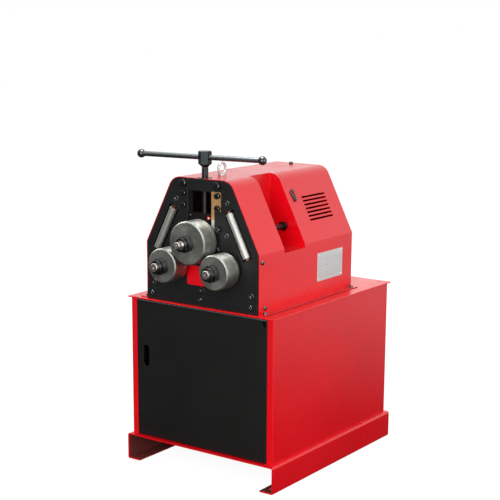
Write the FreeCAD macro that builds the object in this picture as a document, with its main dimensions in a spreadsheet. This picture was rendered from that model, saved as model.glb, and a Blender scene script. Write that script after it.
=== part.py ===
"""Ring roller: a three-roll bending head with its drive, on a sheet-steel cabinet stand.

Millimetres, +Z up.  The origin is on the floor, at the centre of the four floor bolt holes.
The stand is modelled about that origin.  The head is modelled about its own datum, which is
the middle of the front plate's lower edge: x = 0, y = the plate's front face, z = the top of
the stand.  The driving sizes are in SIZES and become the cells of the spreadsheet.
"""
import FreeCAD, Part
import Sketcher
import math
import os

SIZES = {
    # Stand: base frame, cabinet and top plate
    "cabinet_width": 610, "cabinet_depth": 753, "cabinet_height": 503,
    "base_side_overhang": 12.5, "base_end_overhang": 16.5, "base_height": 96, "base_sheet": 5,
    "base_flange": 54.5, "base_bend": 9, "floor_bolt_side_inset": 36.5,
    "floor_bolt_end_inset": 37, "floor_bolt_hole": 14, "cabinet_sheet": 2,
    "strip_width": 24.5, "strip_return": 26, "rim_width": 34, "cabinet_bend": 3,
    "top_sheet": 4, "top_side_overhang": 8.5, "top_end_overhang": 10, "top_edge_round": 1.5,
    "top_hole": 9, "top_hole_side_inset": 28, "top_hole_end_inset": 22,
    # Door
    "door_gap": 1.2, "door_top_gap": 5, "door_sheet": 2, "door_depth": 14, "door_bend": 3,
    "finger_slot_width": 24, "finger_slot_length": 77, "finger_slot_inset": 40,
    "finger_slot_drop": 201, "hinge_pin_diameter": 6, "hinge_inset": 7, "hinge_setback": 5.5,
    "hinge_pin_length": 16, "catch_width": 16, "catch_height": 42, "catch_depth": 18,
    # Head plates
    "head_setback": 9.5, "plate_thickness": 30, "plate_gap": 67.5, "plate_width": 469,
    "plate_shoulder": 200.5, "plate_height": 434.3, "plate_top_width": 234,
    "plate_corner": 48, "shoulder_corner": 14, "slot_width": 114, "slot_bottom": 144,
    "window_width": 128, "window_sill": 68.5, "window_height": 69.5, "window_corner": 7,
    "window_recess": 3, "window_panel_sheet": 2,
    # Bridge over the slot, rails and gibs beside it
    "bridge_height": 40.5, "bridge_body_width": 180, "rail_width": 32,
    "rail_foot_drop": 258.3, "gib_width": 16.2, "gib_recess": 6.9, "bridge_bolt_span": 141,
    "bridge_bolt_size": 16, "bridge_bolt_across": 24, "bridge_bolt_head": 14,
    "bridge_bolt_drop": 17.3, "column_span": 144.6, "column_bolt_size": 12,
    "column_bolt_across": 19, "column_bolt_head": 10, "column_top_drop": 50.8,
    "column_upper_drop": 91.8, "column_lower_drop": 163.3, "column_foot_drop": 231.8,
    # Foot bar and the flush screws with their spacers
    "foot_bar_height": 42, "foot_bar_thickness": 5, "foot_screw_span": 419.2,
    "foot_screw_rise": 24, "foot_screw_head": 14, "foot_screw_head_height": 5,
    "foot_screw_size": 8, "foot_screw_length": 30, "flush_head": 16, "flush_head_height": 10,
    "flush_size": 10, "spacer_diameter": 26, "upper_flush_span": 214.8,
    "upper_flush_drop": 72.3, "middle_flush_span": 210.8, "middle_flush_drop": 181.3,
    "lower_flush_span": 415, "lower_flush_height": 61, "centre_flush_height": 56,
    # Scale plate and pointer
    "scale_thickness": 3, "scale_rebate": 1.5, "scale_left": 44, "scale_leg_width": 11.5,
    "scale_right": 82, "scale_top_drop": 38.6, "scale_step_drop": 102.3,
    "scale_bottom_drop": 176.3, "scale_bolt_head": 11, "rebate_right": 88,
    "head_bolt_size": 12, "head_bolt_across": 19, "head_bolt_head": 8, "head_bolt_grip": 25,
    "head_bolt_span": 320, "pointer_base": 25.5, "pointer_reach": 16, "pointer_height": 15,
    "pointer_drop": 7.7, "pointer_sheet": 1.5,
    # Guide rods in their slanted slots, and the screws that clamp the guides
    "guide_centre": 153.4, "guide_drop": 177.3, "guide_rod_diameter": 26,
    "guide_rod_length": 159, "guide_rod_depth": 0.5, "guide_slot_width": 42,
    "guide_slot_length": 174, "guide_slot_depth": 24, "guide_slot_corner": 5,
    "rod_collar_diameter": 17, "guide_screw_size": 20, "guide_screw_head_across": 30,
    "guide_screw_head_height": 12, "guide_screw_reach": 257,
    # Rolls, shafts, collars and nuts
    "lower_axis_span": 217, "lower_axis_height": 139.3, "upper_axis_height": 227.2,
    "lower_roll_diameter": 119.5, "upper_roll_diameter": 148, "roll_width": 54,
    "rear_ring_width": 15, "roll_standoff": 10.8, "roll_bore": 40, "rim_chamfer": 4,
    "roll_chamfer": 2, "seam_chamfer": 0.6, "collar_diameter": 57, "collar_width": 21,
    "collar_chamfer": 2.5, "nut_across": 46, "nut_height": 14, "left_nut_angle": 12,
    "upper_nut_angle": 18, "right_nut_angle": 2, "shaft_thread": 30, "shaft_shoulder": 50,
    "shaft_journal": 30, "stub_diameter": 24, "lower_stub": 8, "upper_stub": 20.5,
    "centre_drill": 6, "key_width": 10, "key_depth": 5, "key_length": 50,
    "bearing_outer": 62, "bearing_width": 16, "bearing_lip": 45, "bearing_cover": 8,
    # Slide block
    "block_height": 165, "block_foot": 154, "block_lip_recess": 2.5, "block_lip": 4.1,
    "block_lip_width": 107, "block_lip_drop": 6, "socket_floor_rise": 36.8,
    # Spindle, hub and tommy bar
    "spindle_setback": 22, "spindle_diameter": 24, "nut_sleeve": 32,
    "nut_flange": 36, "nut_flange_height": 2.5, "hub_across": 40, "hub_height": 42,
    "hub_rise": 50.4, "hub_cone": 10, "hub_chamfer": 2, "hub_angle": 32,
    "bar_diameter": 18, "bar_span": 468, "bar_offset": -17.5, "bar_angle": 7.2,
    "ball_diameter": 30,
    # Drive behind the rear plate
    "gear_module": 3.5, "gear_teeth": 41, "pinion_teeth": 21, "gear_width": 13,
    "gear_standoff": 2.5, "pressure_angle": 20, "backlash": 0.5, "gear_bore": 28,
    "gear_tail": 4, "drive_shaft": 28, "gearbox_front": 152, "gearbox_length": 140,
    "gearbox_width": 144, "gearbox_height": 206, "gearbox_corner": 16, "gearbox_foot": 12,
    "gearbox_foot_width": 190, "motor_diameter": 140, "motor_length": 205,
    "motor_flange": 160, "motor_flange_width": 14, "fan_cover_length": 45,
    "fan_cover_diameter": 148, "terminal_box_width": 90, "terminal_box_length": 80,
    "terminal_box_height": 36,
    # Hood
    "hood_sheet": 2, "hood_gap": 2.6, "hood_top_gap": 0.3, "hood_length": 587.4,
    "recess_front": 147.5, "recess_length": 127, "recess_lip": 2.161, "recess_floor": 188,
    "hood_flange": 28, "hood_flange_sheet": 3, "spindle_notch": 25, "vent_length": 150,
    "vent_width": 7, "vent_pitch": 14.2, "vent_count": 7, "vent_front": 360,
    "vent_drop": 87.3, "hood_screw_head": 14, "hood_screw_height": 4,
    "hood_screw_inset": 19, "side_screw_setback": 17.5, "side_screw_height": 174,
    "flange_screw_offset": 12, "roof_screw_head": 16, "roof_screw_inset": 45,
    # Eye bolt and the hook plate on the hood
    "eye_outer": 48, "eye_hole": 28, "eye_collar": 28, "eye_collar_height": 8,
    "eye_sink": 8, "eye_shank": 10, "eye_shank_length": 20, "eye_setback": 5,
    "hook_length": 46, "hook_wide": 25, "hook_narrow": 14, "hook_sheet": 3, "hook_drop": 55.9,
    "hook_setback": 314.5,
    # Clearances
    "slide_clearance": 0.3, "running_clearance": 0.05, "free_clearance": 1,
}

doc = FreeCAD.newDocument("ring_roller")
sheet = doc.addObject("Spreadsheet::Sheet", "sheet")


class Size:
    """A length, held as its value and as the spreadsheet expression that gives it."""

    def __init__(self, value, text=None):
        self.value = value
        self.text = repr(float(value)) if text is None else text

    def __add__(self, other):
        other = size(other)
        return Size(self.value + other.value, f"({self.text} + {other.text})")

    def __sub__(self, other):
        other = size(other)
        return Size(self.value - other.value, f"({self.text} - {other.text})")

    def __mul__(self, other):
        other = size(other)
        return Size(self.value * other.value, f"({self.text} * {other.text})")

    def __truediv__(self, other):
        other = size(other)
        return Size(self.value / other.value, f"({self.text} / {other.text})")

    def __neg__(self):
        return Size(-self.value, f"(-1 * {self.text})")

    def __rsub__(self, other):
        return size(other) - self

    def __rtruediv__(self, other):
        return size(other) / self

    __radd__ = __add__
    __rmul__ = __mul__


def size(amount):
    """Return the amount as a Size, so that plain numbers can stand beside named sizes."""
    return amount if isinstance(amount, Size) else Size(amount)


def root(amount):
    """Square root of a Size."""
    return Size(math.sqrt(amount.value), f"sqrt({amount.text})")


def cosine(degrees):
    """Cosine of a Size in degrees."""
    return Size(math.cos(math.radians(degrees.value)), f"cos({degrees.text})")


def sine(degrees):
    """Sine of a Size in degrees."""
    return Size(math.sin(math.radians(degrees.value)), f"sin({degrees.text})")


def tangent(degrees):
    """Tangent of a Size in degrees."""
    return Size(math.tan(math.radians(degrees.value)), f"tan({degrees.text})")


def arc_cosine(ratio):
    """Angle in degrees whose cosine is the given Size."""
    return Size(math.degrees(math.acos(ratio.value)), f"(acos({ratio.text}) / 1 deg)")


class Sheet:
    """The spreadsheet's cells, read by name as Sizes."""

    def __getattr__(self, name):
        return Size(SIZES[name], "sheet." + name)


def fill_sheet():
    """Write every driving size to a cell of its own and name the cell."""
    for row, (name, value) in enumerate(SIZES.items(), start=1):
        cell = f"B{row}"
        sheet.set(f"A{row}", name.replace("_", " "))
        sheet.set(cell, str(value))
        sheet.setAlias(cell, name)
    doc.recompute()


fill_sheet()
s = Sheet()
nodes = []


# ---------------------------------------------------------------- modelling helpers

def bind(thing, **properties):
    """Bind properties of a document object to expressions."""
    for name, amount in properties.items():
        thing.setExpression(name, size(amount).text)


def place(thing, x=0, y=0, z=0):
    """Bind an object's position."""
    for axis, amount in zip("xyz", (x, y, z)):
        thing.setExpression(f"Placement.Base.{axis}", size(amount).text)
    return thing


def turn(thing, axis, degrees):
    """Turn an object about an axis through its own origin; a Size is bound."""
    angle = size(degrees)
    thing.Placement = FreeCAD.Placement(FreeCAD.Vector(0, 0, 0),
                                        FreeCAD.Rotation(FreeCAD.Vector(*axis), angle.value))
    if isinstance(degrees, Size):
        thing.setExpression("Placement.Rotation.Angle", angle.text)
    return thing


def node(thing, label):
    """Name a finished sub-part."""
    thing.Label = label
    nodes.append(thing)
    return thing


HEAD_Y = s.head_setback - s.cabinet_depth / 2
HEAD_Z = s.base_height + s.cabinet_height + s.top_sheet


def in_head(thing, x=0, y=0, z=0):
    """Place a sub-part by its position in the head's frame."""
    return place(thing, x, HEAD_Y + y, HEAD_Z + z)


def box(x, y, z, length, width, height):
    """A block with its low corner at x, y, z."""
    block = doc.addObject("Part::Box", "Block")
    bind(block, Length=length, Width=width, Height=height)
    return place(block, x, y, z)


def rod(radius, height, x=0, y=0, z=0, along="z"):
    """A cylinder that starts at x, y, z and runs along an axis."""
    cylinder = doc.addObject("Part::Cylinder", "Rod")
    if along == "y":
        turn(cylinder, (1, 0, 0), -90)
    if along == "x":
        turn(cylinder, (0, 1, 0), 90)
    bind(cylinder, Radius=radius, Height=height)
    return place(cylinder, x, y, z)


def hexagon(across, height, x=0, y=0, z=0, along="y"):
    """A hexagonal head or nut that starts at x, y, z and runs along an axis."""
    prism = doc.addObject("Part::Prism", "Hexagon")
    prism.Polygon = 6
    if along == "y":
        turn(prism, (1, 0, 0), -90)
    bind(prism, Circumradius=across / root(size(3)), Height=height)
    return place(prism, x, y, z)


def cut(base, *tools):
    """The base with the tools taken away."""
    for tool in tools:
        result = doc.addObject("Part::Cut", "Cut")
        result.Base = base
        result.Tool = tool
        base = result
    return base


def fuse(*parts):
    """Several shapes as one solid."""
    result = doc.addObject("Part::MultiFuse", "Fuse")
    result.Shapes = list(parts)
    return result


def group(parts):
    """Separate solids that share one node."""
    result = doc.addObject("Part::Compound", "Group")
    result.Links = list(parts)
    return result


def new_body(name):
    """An empty PartDesign body."""
    return doc.addObject("PartDesign::Body", name)


def origin_part(body, role):
    """An origin plane or axis of a body, by its role."""
    return next(part for part in body.Origin.OriginFeatures if part.Role == role)


def new_sketch(body, plane, offset=0):
    """A sketch on an origin plane; the offset runs along +X, +Y or +Z."""
    sketch = body.newObject("Sketcher::SketchObject", "Sketch")
    sketch.AttachmentSupport = [(origin_part(body, plane + "_Plane"), "")]
    sketch.MapMode = "FlatFace"
    shift = -size(offset) if plane == "XZ" else size(offset)
    sketch.setExpression("AttachmentOffset.Base.z", shift.text)
    return sketch


def fix_point(sketch, element, point, x, y):
    """Tie a sketch point to the sketch's origin by two bound distances."""
    for kind, amount in (("DistanceX", x), ("DistanceY", y)):
        amount = size(amount)
        constraint = Sketcher.Constraint(kind, -1, 1, element, point, amount.value)
        index = sketch.addConstraint(constraint)
        sketch.setExpression(f"Constraints[{index}]", amount.text)


def polygon(sketch, corners):
    """Draw a closed outline through corners given as pairs of sizes."""
    corners = [(size(x), size(y)) for x, y in corners]
    vectors = [FreeCAD.Vector(x.value, y.value, 0) for x, y in corners]
    first = sketch.GeometryCount
    count = len(corners)
    for index in range(count):
        line = Part.LineSegment(vectors[index], vectors[(index + 1) % count])
        sketch.addGeometry(line, False)
    for index, (x, y) in enumerate(corners):
        follower = first + (index + 1) % count
        sketch.addConstraint(Sketcher.Constraint("Coincident", first + index, 2, follower, 1))
        fix_point(sketch, first + index, 1, x, y)


def circle(sketch, x, y, radius):
    """Draw a circle with its centre and radius bound."""
    x, y, radius = size(x), size(y), size(radius)
    centre = FreeCAD.Vector(x.value, y.value, 0)
    index = sketch.addGeometry(Part.Circle(centre, FreeCAD.Vector(0, 0, 1), radius.value), False)
    constraint = sketch.addConstraint(Sketcher.Constraint("Radius", index, radius.value))
    sketch.setExpression(f"Constraints[{constraint}]", radius.text)
    fix_point(sketch, index, 3, x, y)


def obround(sketch, x, y, length, width, upright=False):
    """Draw a slot with round ends; its length runs along the sketch's first axis, or up."""
    reach = (length - width) / 2
    radius = width / 2
    quarter = math.pi / 2
    centres = []
    ends = []
    for side in (1, -1):
        shift = reach * side
        centre = (x, y + shift) if upright else (x + shift, y)
        centres.append([size(amount) for amount in centre])
        middle = FreeCAD.Vector(centres[-1][0].value, centres[-1][1].value, 0)
        start = quarter * (upright - side)
        full = Part.Circle(middle, FreeCAD.Vector(0, 0, 1), radius.value)
        arc = Part.ArcOfCircle(full, start, start + math.pi)
        ends.append(sketch.addGeometry(arc, False))
    sides = []
    for first, second in ((0, 1), (1, 0)):
        corners = [sketch.getPoint(ends[first], 2), sketch.getPoint(ends[second], 1)]
        sides.append(sketch.addGeometry(Part.LineSegment(*corners), False))
    for arc, line, other in ((0, 0, 1), (1, 1, 0)):
        sketch.addConstraint(Sketcher.Constraint("Tangent", ends[arc], 2, sides[line], 1))
        sketch.addConstraint(Sketcher.Constraint("Tangent", sides[line], 2, ends[other], 1))
    index = sketch.addConstraint(Sketcher.Constraint("Radius", ends[0], radius.value))
    sketch.setExpression(f"Constraints[{index}]", radius.text)
    fix_point(sketch, ends[0], 3, *centres[0])
    kind = "DistanceY" if upright else "DistanceX"
    span = Sketcher.Constraint(kind, ends[1], 3, ends[0], 3, (reach * 2).value)
    index = sketch.addConstraint(span)
    sketch.setExpression(f"Constraints[{index}]", (reach * 2).text)


def rectangle(x0, y0, x1, y1):
    """Corners of a rectangle."""
    return [(x0, y0), (x1, y0), (x1, y1), (x0, y1)]


def pad(body, sketch, length, backwards=False):
    """Pad a sketch along its normal, or the other way."""
    feature = body.newObject("PartDesign::Pad", "Pad")
    feature.Profile = sketch
    feature.Reversed = backwards
    bind(feature, Length=length)
    sketch.Visibility = False
    return feature


def pocket(body, sketch, length, backwards=False):
    """Cut a sketch into the body; the volume has to fall."""
    doc.recompute()
    before = body.Shape.Volume
    feature = body.newObject("PartDesign::Pocket", "Pocket")
    feature.Profile = sketch
    feature.Reversed = backwards
    bind(feature, Length=length)
    doc.recompute()
    if body.Shape.Volume > before - 1e-3:
        raise ValueError(f"{body.Name}: the pocket {feature.Name} cuts nothing")
    return feature


def mirror(body, feature, plane="YZ"):
    """Repeat a feature on the other side of an origin plane."""
    copy = body.newObject("PartDesign::Mirrored", "Mirrored")
    copy.Originals = [feature]
    copy.MirrorPlane = (origin_part(body, plane + "_Plane"), [""])
    body.Tip = copy
    return copy


def edges_where(shape, test):
    """Names of the straight edges whose midpoint and direction pass a test."""
    found = []
    for index, edge in enumerate(shape.Edges, start=1):
        if edge.Curve.TypeId != "Part::GeomLine":
            continue
        way = (edge.Vertexes[-1].Point - edge.Vertexes[0].Point).normalize()
        if test(edge.CenterOfMass, way):
            found.append(f"Edge{index}")
    return found


def near(value, target, reach=0.5):
    """True when two numbers are close."""
    return abs(value - size(target).value) < reach


def soften(body, radius, test, kind="Fillet"):
    """Fillet or chamfer the edges of a body that pass a test."""
    doc.recompute()
    base = body.Tip
    edges = edges_where(base.Shape, test)
    if not edges:
        raise ValueError(f"{body.Name}: no edge to soften")
    feature = body.newObject("PartDesign::" + kind, kind)
    feature.Base = (base, edges)
    bind(feature, **{"Radius" if kind == "Fillet" else "Size": radius})
    doc.recompute()
    return feature


def revolved(name, profile, along="y"):
    """A turned piece from an outline of (radius, distance along the axis) pairs."""
    body = new_body(name)
    sketch = new_sketch(body, "XY" if along == "y" else "XZ")
    polygon(sketch, profile)
    feature = body.newObject("PartDesign::Revolution", "Revolution")
    feature.Profile = sketch
    feature.ReferenceAxis = (origin_part(body, "Y_Axis" if along == "y" else "Z_Axis"), [""])
    feature.Angle = 360
    return body


# ---------------------------------------------------------------- stand

def base_frame():
    """One folded sheet: a deck, two sides and two feet turned inwards, drilled for the floor."""
    half = s.cabinet_width / 2 + s.base_side_overhang
    depth = s.cabinet_depth + s.base_end_overhang * 2
    wall = s.base_sheet
    lip = half - s.base_flange
    top = s.base_height
    body = new_body("BaseFrame")
    sketch = new_sketch(body, "XZ", -depth / 2)
    polygon(sketch, [(-half, 0), (-lip, 0), (-lip, wall), (wall - half, wall),
                     (wall - half, top - wall), (half - wall, top - wall), (half - wall, wall),
                     (lip, wall), (lip, 0), (half, 0), (half, top), (-half, top)])
    pad(body, sketch, depth, backwards=True)
    soften(body, s.base_bend, lambda p, d: abs(d.y) > 0.9 and near(abs(p.x), half)
           and near(p.z, top))
    soften(body, s.base_bend - wall, lambda p, d: abs(d.y) > 0.9
           and near(abs(p.x), half - wall) and near(p.z, top - wall))
    soften(body, s.base_bend - wall + 1, lambda p, d: abs(d.y) > 0.9
           and near(abs(p.x), half) and near(p.z, 0))
    holes = new_sketch(body, "XY")
    for side in (-1, 1):
        for end in (-1, 1):
            circle(holes, (half - s.floor_bolt_side_inset) * side,
                   (depth / 2 - s.floor_bolt_end_inset) * end, s.floor_bolt_hole / 2)
    pocket(body, holes, wall, backwards=True)
    node(body, "base_frame")


def cabinet():
    """Folded shell of the stand: back, sides, front strips with returns, and an upper rim."""
    half = s.cabinet_width / 2
    front = -s.cabinet_depth / 2
    back = s.cabinet_depth / 2
    wall = s.cabinet_sheet
    inner = half - s.strip_width
    fold = front + s.strip_return
    right = [(inner, front), (half, front), (half, back)]
    inside = [(half - wall, back - wall), (half - wall, front + wall),
              (inner + wall, front + wall), (inner + wall, fold), (inner, fold)]
    body = new_body("Cabinet")
    sketch = new_sketch(body, "XY")
    outer_left = [(-x, y) for x, y in reversed(right)]
    inner_left = [(-x, y) for x, y in reversed(inside)]
    polygon(sketch, right + outer_left + inner_left + inside)
    pad(body, sketch, s.cabinet_height)
    rim = new_sketch(body, "XY", s.cabinet_height - wall)
    seat = half - wall / 2
    polygon(rim, rectangle(-seat, front + wall / 2, seat, back - wall / 2))
    polygon(rim, rectangle(s.rim_width - half, fold + s.rim_width, half - s.rim_width,
                           back - s.rim_width))
    pad(body, rim, wall)
    soften(body, s.cabinet_bend, lambda p, d: abs(d.z) > 0.9 and near(abs(p.x), half))
    holes = new_sketch(body, "XY", s.cabinet_height)
    for side in (-1, 1):
        circle(holes, (half - s.top_hole_side_inset) * side, back - s.top_hole_end_inset,
               s.top_hole / 2)
    for x, y in head_bolt_places()[:2]:
        circle(holes, x, HEAD_Y + y, s.head_bolt_size / 2)
    pocket(body, holes, wall * 2)
    place(body, 0, 0, s.base_height)
    node(body, "cabinet")


def top_plate():
    """Flat plate that closes the cabinet and carries the head."""
    half = s.cabinet_width / 2 + s.top_side_overhang
    reach = s.cabinet_depth / 2 + s.top_end_overhang
    body = new_body("TopPlate")
    sketch = new_sketch(body, "XY")
    polygon(sketch, rectangle(-half, -reach, half, reach))
    pad(body, sketch, s.top_sheet)
    soften(body, s.top_edge_round, lambda p, d: near(p.z, s.top_sheet) and abs(d.z) < 0.1)
    holes = new_sketch(body, "XY")
    for side in (-1, 1):
        for end in (-1, 1):
            circle(holes, (s.cabinet_width / 2 - s.top_hole_side_inset) * side,
                   (s.cabinet_depth / 2 - s.top_hole_end_inset) * end, s.top_hole / 2)
    for x, y in head_bolt_places():
        circle(holes, x, HEAD_Y + y, s.head_bolt_size / 2)
    pocket(body, holes, s.top_sheet, backwards=True)
    place(body, 0, 0, s.base_height + s.cabinet_height)
    node(body, "top_plate")


DOOR_HALF = s.cabinet_width / 2 - s.strip_width - s.door_gap
DOOR_FOOT = s.base_height + s.door_gap
DOOR_HEIGHT = s.cabinet_height - s.door_gap - s.door_top_gap
DOOR_FRONT = -s.cabinet_depth / 2


def door():
    """Folded pan with a finger slot, and a bored boss in both hinge corners."""
    wall = s.door_sheet
    hinge_x = DOOR_HALF - s.hinge_inset
    bore = s.hinge_pin_diameter / 2 + s.running_clearance
    body = new_body("Door")
    sketch = new_sketch(body, "XZ")
    polygon(sketch, rectangle(-DOOR_HALF, 0, DOOR_HALF, DOOR_HEIGHT))
    pad(body, sketch, s.door_depth, backwards=True)
    soften(body, s.door_bend, lambda p, d: near(p.y, 0))
    hollow = new_sketch(body, "XZ", s.door_depth)
    polygon(hollow, rectangle(wall - DOOR_HALF, wall, DOOR_HALF - wall, DOOR_HEIGHT - wall))
    pocket(body, hollow, s.door_depth - wall, backwards=True)
    boss = s.hinge_inset - wall / 2
    for level in (wall / 2, DOOR_HEIGHT - s.hinge_pin_length - wall / 2):
        block = new_sketch(body, "XY", level)
        polygon(block, rectangle(hinge_x - boss, wall / 2, hinge_x + boss, s.door_depth))
        pad(body, block, s.hinge_pin_length)
    pin_hole = new_sketch(body, "XY")
    circle(pin_hole, hinge_x, s.hinge_setback, bore)
    pocket(body, pin_hole, DOOR_HEIGHT, backwards=True)
    slot = new_sketch(body, "XZ")
    obround(slot, s.finger_slot_inset - DOOR_HALF, DOOR_HEIGHT - s.finger_slot_drop,
            s.finger_slot_length, s.finger_slot_width, upright=True)
    pocket(body, slot, wall)
    place(body, 0, DOOR_FRONT, DOOR_FOOT)
    node(body, "door")


def hinge_pins():
    """Two pivot pins: one stands on the base, one hangs from the top plate."""
    x = DOOR_HALF - s.hinge_inset
    y = DOOR_FRONT + s.hinge_setback
    radius = s.hinge_pin_diameter / 2
    lower = rod(radius, s.hinge_pin_length, x, y, s.base_height)
    rim = s.base_height + s.cabinet_height - s.cabinet_sheet
    upper = rod(radius, s.hinge_pin_length, x, y, rim - s.hinge_pin_length)
    node(group([lower, upper]), "hinge_pins")


def door_catch():
    """Magnetic catch on the return of the left front strip."""
    x = s.strip_width - s.cabinet_width / 2
    y = DOOR_FRONT + s.door_depth + s.slide_clearance
    middle = DOOR_FOOT + DOOR_HEIGHT - s.finger_slot_drop
    block = box(x, y, middle - s.catch_height / 2, s.catch_width, s.catch_depth, s.catch_height)
    node(block, "door_catch")


# ---------------------------------------------------------------- head plates

SLOPE_RUN = (s.plate_width - s.plate_top_width) / 2
SLOPE_RISE = s.plate_height - s.plate_shoulder
SLOPE_LENGTH = root(SLOPE_RUN * SLOPE_RUN + SLOPE_RISE * SLOPE_RISE)
DOWN_X = SLOPE_RUN / SLOPE_LENGTH
DOWN_Z = -SLOPE_RISE / SLOPE_LENGTH
REAR_PLATE_Y = s.plate_thickness + s.plate_gap
PLATES_DEPTH = s.plate_thickness * 2 + s.plate_gap
GUIDE_HEIGHT = s.plate_height - s.guide_drop
HUB_BASE = s.plate_height + s.hub_rise


def outline(offset=0, lift=0):
    """Head outline, moved outwards from the plates' sides and slopes and up from their top."""
    slant = SLOPE_RUN / SLOPE_RISE
    stretch = SLOPE_LENGTH / SLOPE_RISE
    half = s.plate_width / 2 + offset
    shoulder = s.plate_shoulder + offset * (stretch - 1) / slant
    top_half = s.plate_top_width / 2 - lift * slant + offset * stretch
    top = s.plate_height + lift
    return [(-half, 0), (half, 0), (half, shoulder), (top_half, top), (-top_half, top),
            (-half, shoulder)]


def round_outline(body, outline_points, corner, shoulder):
    """Round the upper corners and the shoulders of an outline that was padded along Y."""
    for (x, z), radius in ((outline_points[3], corner), (outline_points[2], shoulder)):
        soften(body, radius, lambda p, d: abs(d.y) > 0.9 and near(abs(p.x), x)
               and near(p.z, z))


def head_plate(name, y):
    """The outline of a bearing plate with the open slot for the slide block."""
    body = new_body(name)
    sketch = new_sketch(body, "XZ", y)
    points = outline()
    polygon(sketch, points)
    pad(body, sketch, s.plate_thickness, backwards=True)
    round_outline(body, points, s.plate_corner, s.shoulder_corner)
    slot = new_sketch(body, "XZ", y)
    half = s.slot_width / 2
    polygon(slot, rectangle(-half, s.slot_bottom, half, s.plate_height + s.free_clearance))
    pocket(body, slot, s.plate_thickness)
    return body


def drill(body, y, depth, holes):
    """Drill round holes along +Y from a plane; each hole is (x, z, diameter)."""
    sketch = new_sketch(body, "XZ", y)
    for x, z, diameter in holes:
        circle(sketch, x, z, diameter / 2)
    return pocket(body, sketch, depth)


def both_sides(span, height, diameter):
    """One hole on each side of the centre line."""
    return [(span / 2 * side, height, diameter) for side in (-1, 1)]


COLUMN_HEIGHTS = [s.plate_height - drop for drop in (s.column_top_drop, s.column_upper_drop,
                                                     s.column_lower_drop, s.column_foot_drop)]
SCALE_TOP = s.plate_height - s.scale_top_drop
SCALE_STEP = s.plate_height - s.scale_step_drop
SCALE_BOTTOM = s.plate_height - s.scale_bottom_drop


def flush_positions():
    """Places of the flush socket screws, which hold the two plates apart with spacers."""
    places = []
    for span, height in ((s.upper_flush_span, s.plate_height - s.upper_flush_drop),
                         (s.middle_flush_span, s.plate_height - s.middle_flush_drop),
                         (s.lower_flush_span, s.lower_flush_height)):
        places += [(span / 2 * side, height) for side in (-1, 1)]
    return places + [(size(0), s.centre_flush_height)]


def shaft_bores(body, web_y, bearing_y, bearing_depth):
    """Bore the lower shafts' holes: a web hole right through and a seat for the bearing."""
    drill(body, web_y, s.plate_thickness,
          both_sides(s.lower_axis_span, s.lower_axis_height, s.bearing_lip))
    drill(body, bearing_y, bearing_depth,
          both_sides(s.lower_axis_span, s.lower_axis_height, s.bearing_outer))


GUIDE_SCREW_TIP = s.guide_rod_depth + s.guide_rod_diameter / 2 + s.free_clearance


def guide_corners(length, width, side):
    """Corners of a rectangle whose length runs down the slope on one side."""
    corners = []
    for along, across in ((-1, -1), (1, -1), (1, 1), (-1, 1)):
        x = s.guide_centre + DOWN_X * length / 2 * along - DOWN_Z * width / 2 * across
        z = GUIDE_HEIGHT + DOWN_Z * length / 2 * along + DOWN_X * width / 2 * across
        corners.append((x * side, z))
    return corners


def front_plate():
    """Black front plate: slot, window, guide slots, shaft bores, rebate and bolt holes."""
    body = head_plate("FrontPlate", 0)
    window = new_sketch(body, "XZ")
    half = s.window_width / 2
    polygon(window, rectangle(-half, s.window_sill, half, s.window_sill + s.window_height))
    pocket(body, window, s.plate_thickness)
    soften(body, s.window_corner, lambda p, d: abs(d.y) > 0.9 and near(abs(p.x), half)
           and p.z < (s.window_sill + s.window_height + 1).value)
    slots = new_sketch(body, "XZ")
    for side in (-1, 1):
        polygon(slots, guide_corners(s.guide_slot_length, s.guide_slot_width, side))
    pocket(body, slots, s.guide_slot_depth)
    corners = guide_corners(s.guide_slot_length, s.guide_slot_width, 1)
    soften(body, s.guide_slot_corner, lambda p, d: abs(d.y) > 0.9
           and any(near(abs(p.x), x) and near(p.z, z) for x, z in corners))
    rebate = new_sketch(body, "XZ")
    polygon(rebate, rectangle(s.slot_width / 2 - s.free_clearance,
                              SCALE_STEP - s.free_clearance, s.rebate_right,
                              SCALE_TOP + s.free_clearance))
    pocket(body, rebate, s.scale_rebate)
    shaft_bores(body, 0, s.bearing_cover, s.plate_thickness)
    bolts = both_sides(s.bridge_bolt_span, s.plate_height - s.bridge_bolt_drop,
                       s.bridge_bolt_size + s.slide_clearance)
    for height in COLUMN_HEIGHTS:
        bolts += both_sides(s.column_span, height, s.column_bolt_size + s.slide_clearance)
    bolts += [(x, z, s.flush_size + s.slide_clearance) for x, z in flush_positions()]
    bolts += [(x, z, s.foot_screw_size) for x, z in foot_positions()]
    drill(body, 0, s.plate_thickness, bolts)
    web = GUIDE_SCREW_TIP - s.slide_clearance
    drill(body, web, s.plate_thickness - web,
          both_sides(s.guide_centre * 2, GUIDE_HEIGHT,
                     s.guide_screw_size + s.free_clearance * 2))
    heads = [(x, z, s.flush_head + s.free_clearance) for x, z in flush_positions()]
    drill(body, 0, s.flush_head_height, heads)
    tap_feet(body, head_bolt_places()[:2])
    in_head(body)
    node(body, "front_plate")


def rear_plate():
    """Rear bearing plate with the same outline and slot."""
    body = head_plate("RearPlate", REAR_PLATE_Y)
    cover = s.plate_thickness - s.bearing_cover
    shaft_bores(body, REAR_PLATE_Y, REAR_PLATE_Y, cover)
    drill(body, REAR_PLATE_Y, s.plate_thickness,
          both_sides(s.guide_centre * 2, GUIDE_HEIGHT,
                     s.guide_screw_size + s.running_clearance * 2))
    tap_feet(body, head_bolt_places()[2:])
    in_head(body)
    node(body, "rear_plate")


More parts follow.
